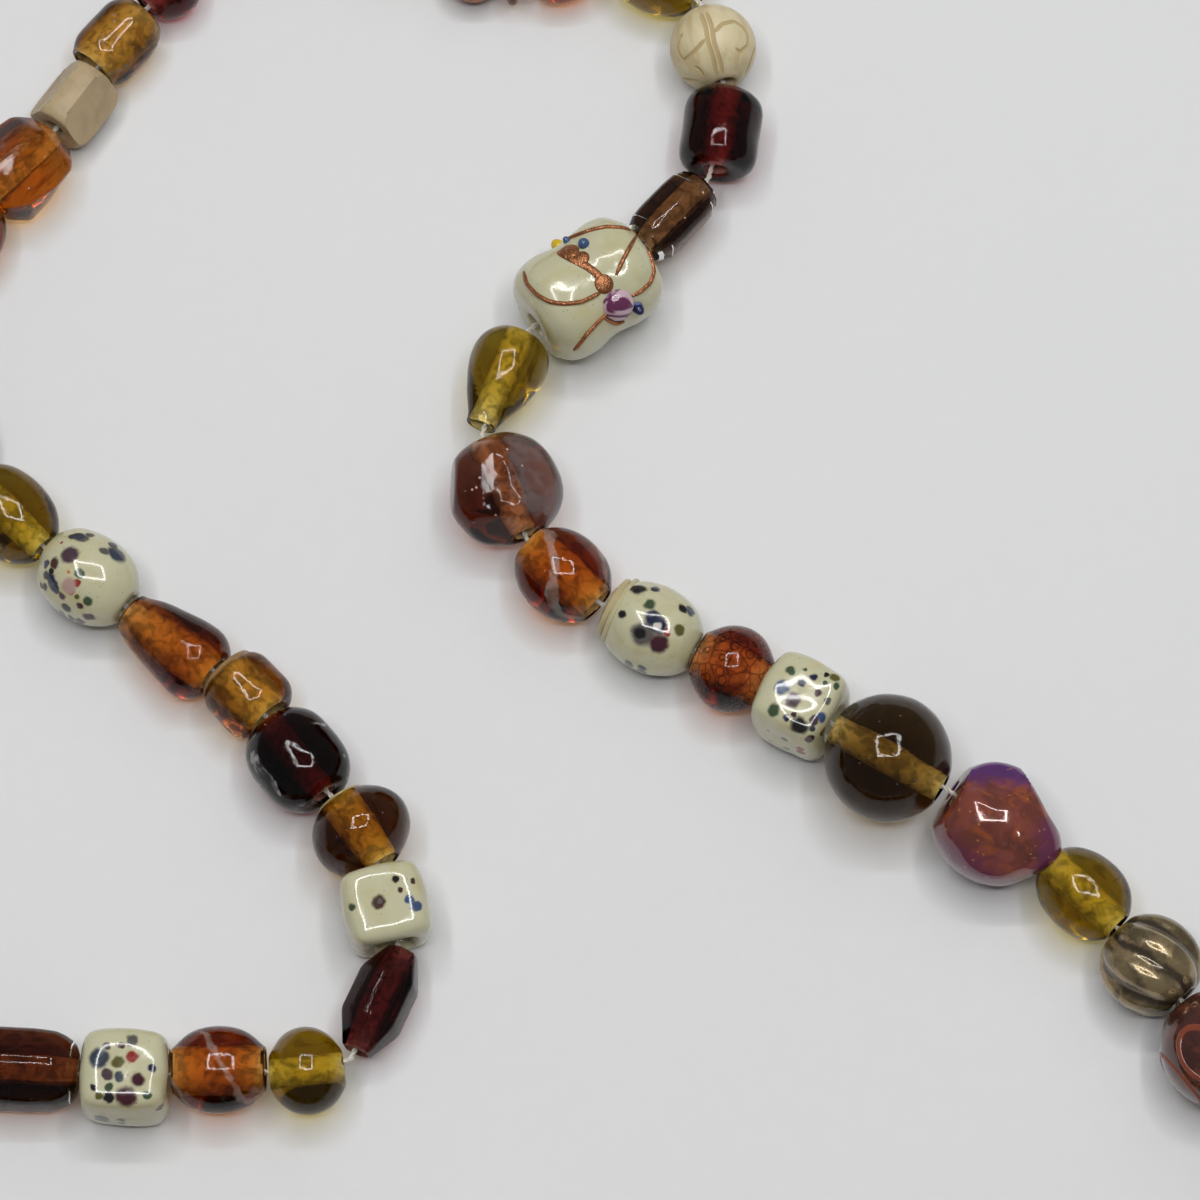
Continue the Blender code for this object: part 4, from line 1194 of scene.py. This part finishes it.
def melted_drop(name, hit, radius, rise):
    """A flattened drop of glass melted onto a bead's wall."""
    spot, normal = hit
    only(None)
    bpy.ops.mesh.primitive_uv_sphere_add(segments=20, ring_count=10, radius=radius)
    drop = bpy.context.object
    drop.name = name
    bpy.ops.object.mode_set(mode="EDIT")
    bpy.ops.mesh.select_all(action="SELECT")
    bpy.ops.transform.resize(value=(1, 1, rise / radius))
    bpy.ops.object.mode_set(mode="OBJECT")
    drop.location = spot
    drop.rotation_euler = normal.to_track_quat("Z", "Y").to_euler()
    bpy.ops.object.transform_apply(location=True, rotation=True, scale=True)
    return drop


# The large cream bead: how narrow its waist is, how its copper lies in it, and how the cutter of the carved
# bead stands out of the wall
WAIST = 0.90
TRAIL_RISE = 0.03 * MM
PATCH_RISE = 0.35 * MM
BELT_RADIUS = 0.75 * MM
BELT_SINK = 0.48 * MM
GROOVE_RISE = 0.2 * MM


class NECKLACE_OT_lampwork_bead(bpy.types.Operator):
    """Makes the large cream bead with its waist, copper trails and melted dots"""

    bl_idname = "necklace.lampwork_bead"
    bl_label = "Copper trail bead"

    def execute(self, context):
        sizes = context.scene.necklace_sizes
        colours = context.scene.necklace_colours
        name = "copper_trail_lampwork"
        place = STRAND[name]
        bead = draw_bead(f"{name}_bead", bead_rings(LOBED, place, sizes), sizes.sides)
        waist = place.length * MM * 0.05
        wall = place.width * MM * 0.3

        def at_waist(vertex):
            return abs(vertex.co.x) < waist and math.hypot(vertex.co.y, vertex.co.z) > wall

        pick(bead, at_waist)
        bpy.ops.transform.resize(value=(1, WAIST, WAIST), center_override=(0, 0, 0))
        smooth_out(bead, 3)
        flatten_to(bead, place)
        lay(bead, place)
        sag(bead, 0.3 * MM, 3.2 * MM, "lampwork_waves")
        finish = Finish("lampwork_cream", place)
        ground = cream_glass(finish, colours)
        bead.data.materials.append(finish.done(finish.shader(
            Base_Color=ground, Roughness=finish.varied(1.2, 0.10, 0.25),
            Subsurface_Weight=0.15, Subsurface_Scale=1.0 * MM, Coat_Weight=0.5, Coat_Roughness=0.04,
            Normal=finish.relief(finish.clouds(0.9), 0.3))))
        glitter = copper_glitter(place)
        parts = []
        for i, line in enumerate(TRAILS):
            trail = traced(f"trail_{i}", bead, line, sizes.trail, -TRAIL_RISE)
            trail.data.materials.append(glitter)
            parts.append(trail)
        belt = traced("belt", bead, BELT, BELT_RADIUS, BELT_SINK)
        belt.data.materials.append(glitter)
        parts.append(belt)
        for i, (across, down, radius) in enumerate(PATCHES):
            patch = melted_drop(f"patch_{i}", spot_on(bead, across, down), radius / SHOT_SCALE, PATCH_RISE)
            patch.data.materials.append(glitter)
            parts.append(patch)
        for i, (across, down, radius, rise, colour, swirl) in enumerate(DROPS):
            drop = melted_drop(f"drop_{i}", spot_on(bead, across, down), radius / SHOT_SCALE, rise * MM)
            drop.data.materials.append(drop_glass(f"drop_glass_{i}", colour, swirl))
            parts.append(drop)
        join_to(bead, parts)
        finish_piece(bead, name, 60)
        return {"FINISHED"}


class NECKLACE_OT_carved_bead(bpy.types.Operator):
    """Carves scrolls into the bone bead"""

    bl_idname = "necklace.carved_bead"
    bl_label = "Carved bone bead"

    def execute(self, context):
        sizes = context.scene.necklace_sizes
        colours = context.scene.necklace_colours
        name = "carved_bone_round"
        place = STRAND[name]
        bead = turned_bead(name, BALL, place, sizes)
        finish = Finish("bone", place)
        ground = finish.blend(
            finish.between(finish.clouds(0.35, 4.0, (0.4, 1.5, 1.5)), 0.4, 0.7), tuple(colours.bone),
            (0.54, 0.44, 0.24))
        bead.data.materials.append(finish.done(finish.shader(
            Base_Color=ground, Roughness=finish.varied(2.0, 0.32, 0.5),
            Subsurface_Weight=0.2, Subsurface_Scale=1.0 * MM,
            Normal=finish.relief(finish.clouds(2.5), 0.25))))
        stain = Finish("bone_groove", place)
        groove = stain.done(stain.shader(
            Base_Color=stain.blend(stain.clouds(1.2), tuple(colours.bone_groove), (0.50, 0.39, 0.20)),
            Roughness=stain.varied(3.0, 0.6, 0.8)))
        bead.data.materials.append(groove)
        for i, line in enumerate(GROOVES):
            cutter = traced(f"groove_{i}", bead, line, sizes.groove, -GROOVE_RISE)
            cutter.data.materials.append(groove)
            apply_modifier(bead, "BOOLEAN", operation="DIFFERENCE", solver="EXACT", use_self=True,
                           object=cutter, material_mode="TRANSFER")
            bpy.data.objects.remove(cutter)
        finish_piece(bead, name, 35)
        return {"FINISHED"}


# Colours that the luster gives the two uneven beads
LUMP_VEILS = (
    Veil("side", (0.36, 0.15, 0.13), 0.85, 1.0, 1.6, 4.2, (0.35, -0.7, 0.0)),
    Veil("side", (0.30, 0.19, 0.17), 0.7, 1.0, 2.2, 3.6, (0.18, 0.9, 0.35), 0.25),
    Veil("cloud", (0.40, 0.18, 0.12), 0.6, 0.30, 0.50, 0.64),
    GOLD_DUST,
)
PEBBLE_VEILS = (
    Veil("cloud", (0.30, 0.070, 0.020), 0.9, 0.28, 0.48, 0.62),
    Veil("side", (0.085, 0.020, 0.150), 0.9, 1.0, 1.8, 4.6, (-0.55, 0.75, 0.0)),
    Veil("side", (0.110, 0.016, 0.060), 0.9, 1.0, 2.4, 6.0, (0.1, -1.0, -0.2)),
    Veil("side", (0.120, 0.020, 0.080), 0.8, 1.0, 3.0, 6.0, (0.9, 0.4, 0.0)),
    Veil("specks", (0.60, 0.26, 0.08), 0.6, 0.8, 0.05, 0.14),
)
DISC_VEILS = (Veil("cloud", (0.14, 0.035, 0.016), 0.8, 0.30, 0.50, 0.62),)


def luster_finish(name, place, base, rim, veils):
    """Deep glass under a luster whose colour turns towards the rim, partly the luster's own hue and partly
    painted rim shade.
    """
    finish = Finish(name, place)
    facing = finish.add("ShaderNodeLayerWeight")
    facing.inputs["Blend"].default_value = 0.30
    paler = tuple(1.5 * part for part in base)
    colour = finish.blend(finish.between(finish.clouds(0.5, 3.0), 0.4, 0.65), base, paler)
    for veil in veils:
        colour = finish.blend(veil_share(finish, veil), colour, veil.colour)
    # Painted rim shade: where the surface turns away from the eye the colour goes to the darker rim colour
    colour = finish.blend(finish.between(facing.outputs["Facing"], 0.35, 0.95), colour, rim)
    return finish.done(finish.shader(
        Base_Color=colour, Metallic=0.15,
        Roughness=finish.varied(1.1, 0.10, 0.22),
        Coat_Weight=1.0, Coat_Roughness=0.03, Normal=finish.relief(finish.clouds(0.8), 0.25)))


class NECKLACE_OT_luster_beads(bpy.types.Operator):
    """Makes the uneven plum lump, the rainbow pebble and the copper foil bead"""

    bl_idname = "necklace.luster_beads"
    bl_label = "Luster beads"

    def execute(self, context):
        sizes = context.scene.necklace_sizes
        place = STRAND["plum_luster_lump"]
        lump = turned_bead("plum_luster_lump", PEBBLE, place, sizes)
        sag(lump, 0.4 * MM, 5 * MM, "lump_flow")
        paddle(lump, place, LUMP_FLATS)
        press_in(lump, LUMP_DENTS)
        lump.data.materials.append(glass_finish("plum_luster", place, MAUVE, LUMP_VEILS))
        line_bore(lump, place, lining_finish("plum_luster_lining", MAUVE.lining))
        finish_piece(lump, "plum_luster_lump", 30)
        place = STRAND["rainbow_pebble"]
        pebble = turned_bead("rainbow_pebble", PEBBLE, place, sizes)
        sag(pebble, 0.3 * MM, 5 * MM, "pebble_flow")
        paddle(pebble, place, PEBBLE_FLATS)
        press_in(pebble, PEBBLE_DENTS)
        # Base colour, then the darker purple rim colour, part luster hue and part painted rim shade
        pebble.data.materials.append(luster_finish(
            "rainbow_luster", place, (0.15, 0.035, 0.022), (0.05, 0.010, 0.045), PEBBLE_VEILS))
        finish_piece(pebble, "rainbow_pebble", 30)
        foil = turned_bead("copper_foil_round", BALL, STRAND["copper_foil_round"], sizes)
        foil.data.materials.append(copper_glitter(STRAND["copper_foil_round"]))
        finish_piece(foil, "copper_foil_round")
        return {"FINISHED"}


# Raised loops round the disc: how many, points of each, half width in radians, half length and depth as
# shares of the disc, and radius of the bar
LOOPS = 6
LOOP_POINTS = 16
LOOP_HALF_WIDTH = 0.42
LOOP_HALF_LENGTH = 0.52
LOOP_SINK = 0.92
LOOP_RADIUS = 0.62 * MM


class NECKLACE_OT_looped_bead(bpy.types.Operator):
    """Makes the dark disc with raised red loops"""

    bl_idname = "necklace.looped_bead"
    bl_label = "Looped disc"

    def execute(self, context):
        sizes = context.scene.necklace_sizes
        name = "red_looped_disc"
        place = STRAND[name]
        bead = turned_bead(name, BALL, place, sizes)
        # Base colour, then the darker rim colour, which is painted rim shade
        bead.data.materials.append(luster_finish(
            "disc_glass", place, (0.050, 0.013, 0.009), (0.030, 0.009, 0.007), DISC_VEILS))
        trail = Finish("red_trail", place)
        red = trail.done(trail.shader(
            Base_Color=trail.blend(trail.clouds(0.8), (0.15, 0.030, 0.016), (0.27, 0.068, 0.032)),
            Roughness=trail.varied(2.0, 0.08, 0.2)))
        to_world = turn_of(place).to_matrix()
        parts = []
        for i in range(LOOPS):
            spots = []
            for k in range(LOOP_POINTS + 1):
                turn = 2 * math.pi * k / LOOP_POINTS
                around = 2 * math.pi * i / LOOPS + LOOP_HALF_WIDTH * math.sin(turn)
                along = LOOP_HALF_LENGTH * math.cos(turn)
                reach = math.sqrt(1 - along * along) * LOOP_SINK
                local = Vector((along * place.length / 2,
                                reach * math.cos(around) * place.width / 2,
                                reach * math.sin(around) * place.height / 2)) * MM
                spots.append(middle_of(place) + to_world @ local)
            loop = bar_through(f"loop_{i}", spots, LOOP_RADIUS, even=True)
            loop.data.materials.append(red)
            parts.append(loop)
        join_to(bead, parts)
        finish_piece(bead, name, 60)
        return {"FINISHED"}


class NECKLACE_OT_strings(bpy.types.Operator):
    """Winds the plain beads of the far stretch, two strings of nine"""

    bl_idname = "necklace.strings"
    bl_label = "Far strings"

    def execute(self, context):
        sizes = context.scene.necklace_sizes
        kinds = (("olive", OLIVE, OLIVE_FLOW), ("smoke", SMOKE, DARK_FLOW), ("amber", AMBER, DARK_FLOW))
        linings = [lining_finish(f"{name}_string_lining", glass.lining) for name, glass, _ in kinds]
        for name, places in STRINGS.items():
            beads = []
            for i, place in enumerate(places):
                bead = draw_bead(f"{name}_{i}", bead_rings(OVAL, place, sizes), 16)
                smooth_out(bead, sizes.smoothing)
                lay(bead, place)
                colour, glass, veil = kinds[i % len(kinds)]
                bead.data.materials.append(glass_finish(f"{name}_{colour}_{i}", place, glass, (veil,)))
                line_bore(bead, place, linings[i % len(kinds)])
                beads.append(bead)
            join_to(beads[0], beads[1:])
            beads[0].name = f"{name}_beads"
            finish_piece(beads[0], name)
        return {"FINISHED"}


class NECKLACE_OT_clasp(bpy.types.Operator):
    """Turns the plain barrel clasp with its collars"""

    bl_idname = "necklace.clasp"
    bl_label = "Barrel clasp"

    def execute(self, context):
        sizes = context.scene.necklace_sizes
        half = CLASP.length * MM / 2
        wide = CLASP.width * MM / 2
        near = [
            (-half + 0.8 * MM, sizes.bore), (-half, sizes.bore * 1.1), (-half, wide * 0.50),
            (-half + 0.5 * MM, wide * 0.62), (-half + 1.6 * MM, wide * 0.62), (-half + 2.0 * MM, wide * 0.9),
            (-half + 3.0 * MM, wide), (-0.5 * MM, wide), (-0.3 * MM, wide * 0.92)]
        far = [(-along, reach) for along, reach in reversed(near)]
        clasp = draw_bead("barrel_clasp", near + far + [(0.0, sizes.bore), near[0]], 32)
        apply_modifier(clasp, "BEVEL", width=0.12 * MM, segments=2, limit_method="ANGLE",
                       angle_limit=math.radians(20))
        lay(clasp, CLASP)
        finish = Finish("clasp_metal", CLASP)
        brushed = finish.clouds(1.2, 4.0, (0.2, 3.0, 3.0))
        colours = context.scene.necklace_colours
        clasp.data.materials.append(finish.done(finish.shader(
            Base_Color=finish.blend(brushed, tuple(colours.metal), (0.48, 0.44, 0.38)), Metallic=1.0,
            Roughness=finish.between(brushed, *CLOUD_SPAN, 0.22, 0.42), Normal=finish.relief(brushed, 0.2))))
        finish_piece(clasp, "clasp", 30)
        return {"FINISHED"}


def thread_route():
    """Points of the thread from one end of the clasp, through every bead, to the other end."""
    order = list(STRINGS["left_string"]) + list(STRAND.values()) + list(STRINGS["right_string"])
    inner = Vector((CLASP.length / 2 - 4.0, 0, 0)) * MM
    route = [middle_of(CLASP) - inner]
    for place, following in zip(order, order[1:] + [None]):
        route.append(middle_of(place))
        if following is not None:
            route.append((ends_of(place)[1] + ends_of(following)[0]) / 2)
    return route + [middle_of(CLASP) + inner]


def even_steps(route, step):
    """Points at even distances along a route, with the direction at each."""
    spots = []
    left = 0.0
    for start, end in zip(route, route[1:]):
        along = end - start
        length = along.length
        at = left
        while at < length:
            spots.append((start + along * (at / length), along / length))
            at += step
        left = at - length
    return spots


class NECKLACE_OT_thread(bpy.types.Operator):
    """Twists the two-ply cotton thread through all the beads"""

    bl_idname = "necklace.thread"
    bl_label = "Thread"

    def execute(self, context):
        sizes = context.scene.necklace_sizes
        colours = context.scene.necklace_colours
        step = sizes.twist / 6
        spots = even_steps(thread_route(), step)
        plies = []
        for ply in range(2):
            wound = []
            for i, (spot, along) in enumerate(spots):
                turn = 2 * math.pi * i * step / sizes.twist + math.pi * ply
                side = Vector((-along.y, along.x, 0)).normalized()
                rise = along.cross(side)
                wound.append(spot + (side * math.cos(turn) + rise * math.sin(turn)) * sizes.ply * 0.92)
            plies.append(bar_through(f"ply_{ply}", wound, sizes.ply, 0))
        join_to(plies[0], plies[1:])
        thread = plies[0]
        thread.name = "twisted_thread"
        finish = Finish("cotton")
        colour = finish.blend(finish.clouds(2.5, 4.0), tuple(colours.thread), (0.60, 0.56, 0.48))
        thread.data.materials.append(finish.done(finish.shader(
            Base_Color=colour, Roughness=finish.varied(5.0, 0.75, 0.95),
            Normal=finish.relief(finish.clouds(9.0), 0.5))))
        finish_piece(thread, "thread", 60)
        return {"FINISHED"}


# The square of lamps over the strand, the large soft lamp behind it, and the light of the room
LAMPS_MIDDLE = Vector((0, 0.10, 1.0))
LAMP_WIDTH = 0.07
FILL_SPOT = Vector((0.5, 0.7, 1.2))
FILL_SIDE = 1.2
ROOM_COLOUR = (0.96, 0.98, 1.0, 1)
ROOM_STRENGTH = 0.16


def lamp(name, spot, aim, power, width, height):
    """A soft rectangular lamp that looks at a point."""
    only(None)
    turn = (spot - aim).to_track_quat("Z", "Y").to_euler()
    bpy.ops.object.light_add(type="AREA", location=spot, rotation=turn)
    made = bpy.context.object
    made.name = name
    made.data.shape = "RECTANGLE"
    made.data.size = width
    made.data.size_y = height
    made.data.energy = power
    return made


class NECKLACE_OT_stage(bpy.types.Operator):
    """Lays the surface, hangs the lamps and sets the camera"""

    bl_idname = "necklace.stage"
    bl_label = "Stage"

    def execute(self, context):
        stage = context.scene.necklace_stage
        only(None)
        bpy.ops.mesh.primitive_grid_add(x_subdivisions=4, y_subdivisions=4, size=6)
        floor = context.object
        floor.name = "surface"
        finish = Finish("pale_surface")
        ground = tuple(stage.surface)
        shade = tuple(0.97 * part for part in ground)
        floor.data.materials.append(finish.done(finish.shader(
            Base_Color=finish.blend(finish.clouds(0.02), ground, shade),
            Roughness=finish.varied(0.5, 0.7, 0.9))))

        half = stage.ring_half
        for i, (x, y) in enumerate(((0, 1), (1, 0), (0, -1), (-1, 0))):
            spot = LAMPS_MIDDLE + Vector((x * half, y * half, 0))
            across, deep = (2 * half, LAMP_WIDTH) if x == 0 else (LAMP_WIDTH, 2 * half)
            lamp(f"ring_{i}", spot, spot - Vector((0, 0, 1)), stage.ring_power, across, deep)
        fill = lamp("fill", FILL_SPOT, Vector((0, 0, 0)), stage.fill_power, FILL_SIDE, FILL_SIDE)
        fill.visible_glossy = False

        world = bpy.data.worlds.new("room")
        world.use_nodes = True
        room = world.node_tree.nodes["Background"]
        room.inputs["Color"].default_value = ROOM_COLOUR
        room.inputs["Strength"].default_value = ROOM_STRENGTH
        context.scene.world = world
        context.scene.view_settings.view_transform = "Standard"

        eye, aim = shot_ray(SHOT_SIZE / 2, SHOT_SIZE / 2)
        bpy.ops.object.camera_add(location=eye, rotation=(math.pi / 2 - SHOT_ELEVATION, 0, 0))
        camera = context.object
        camera.name = "shot"
        camera.data.sensor_width = 36
        camera.data.lens = stage.lens
        camera.data.clip_start = 0.01
        context.scene.camera = camera
        return {"FINISHED"}


class NECKLACE_PT_panel(bpy.types.Panel):
    """Sizes, colours and every step of the necklace"""

    bl_idname = "NECKLACE_PT_panel"
    bl_label = "Mixed bead necklace"
    bl_space_type = "VIEW_3D"
    bl_region_type = "UI"
    bl_category = "Necklace"

    def draw(self, context):
        for group in SETTINGS:
            settings = getattr(context.scene, group)
            box = self.layout.box()
            for name in settings.__annotations__:
                box.prop(settings, name)
        for step in STEPS:
            self.layout.operator(step.bl_idname)


STEPS = (
    NECKLACE_OT_turned_beads,
    NECKLACE_OT_speckled_beads,
    NECKLACE_OT_faceted_beads,
    NECKLACE_OT_stone_prism,
    NECKLACE_OT_melon_bead,
    NECKLACE_OT_lampwork_bead,
    NECKLACE_OT_carved_bead,
    NECKLACE_OT_luster_beads,
    NECKLACE_OT_looped_bead,
    NECKLACE_OT_strings,
    NECKLACE_OT_clasp,
    NECKLACE_OT_thread,
    NECKLACE_OT_stage,
)
SETTINGS = {
    "necklace_sizes": NecklaceSizes,
    "necklace_colours": NecklaceColours,
    "necklace_stage": NecklaceStage,
}


def register():
    for kind in (*SETTINGS.values(), *STEPS, NECKLACE_PT_panel):
        bpy.utils.register_class(kind)
    for name, kind in SETTINGS.items():
        setattr(bpy.types.Scene, name, PointerProperty(type=kind))


def unregister():
    for name in SETTINGS:
        delattr(bpy.types.Scene, name)
    for kind in reversed((*SETTINGS.values(), *STEPS, NECKLACE_PT_panel)):
        bpy.utils.unregister_class(kind)


def main():
    """Makes every piece and the stage."""
    register()
    for step in STEPS:
        group, name = step.bl_idname.split(".")
        getattr(getattr(bpy.ops, group), name)()


if __name__ == "__main__":
    main()
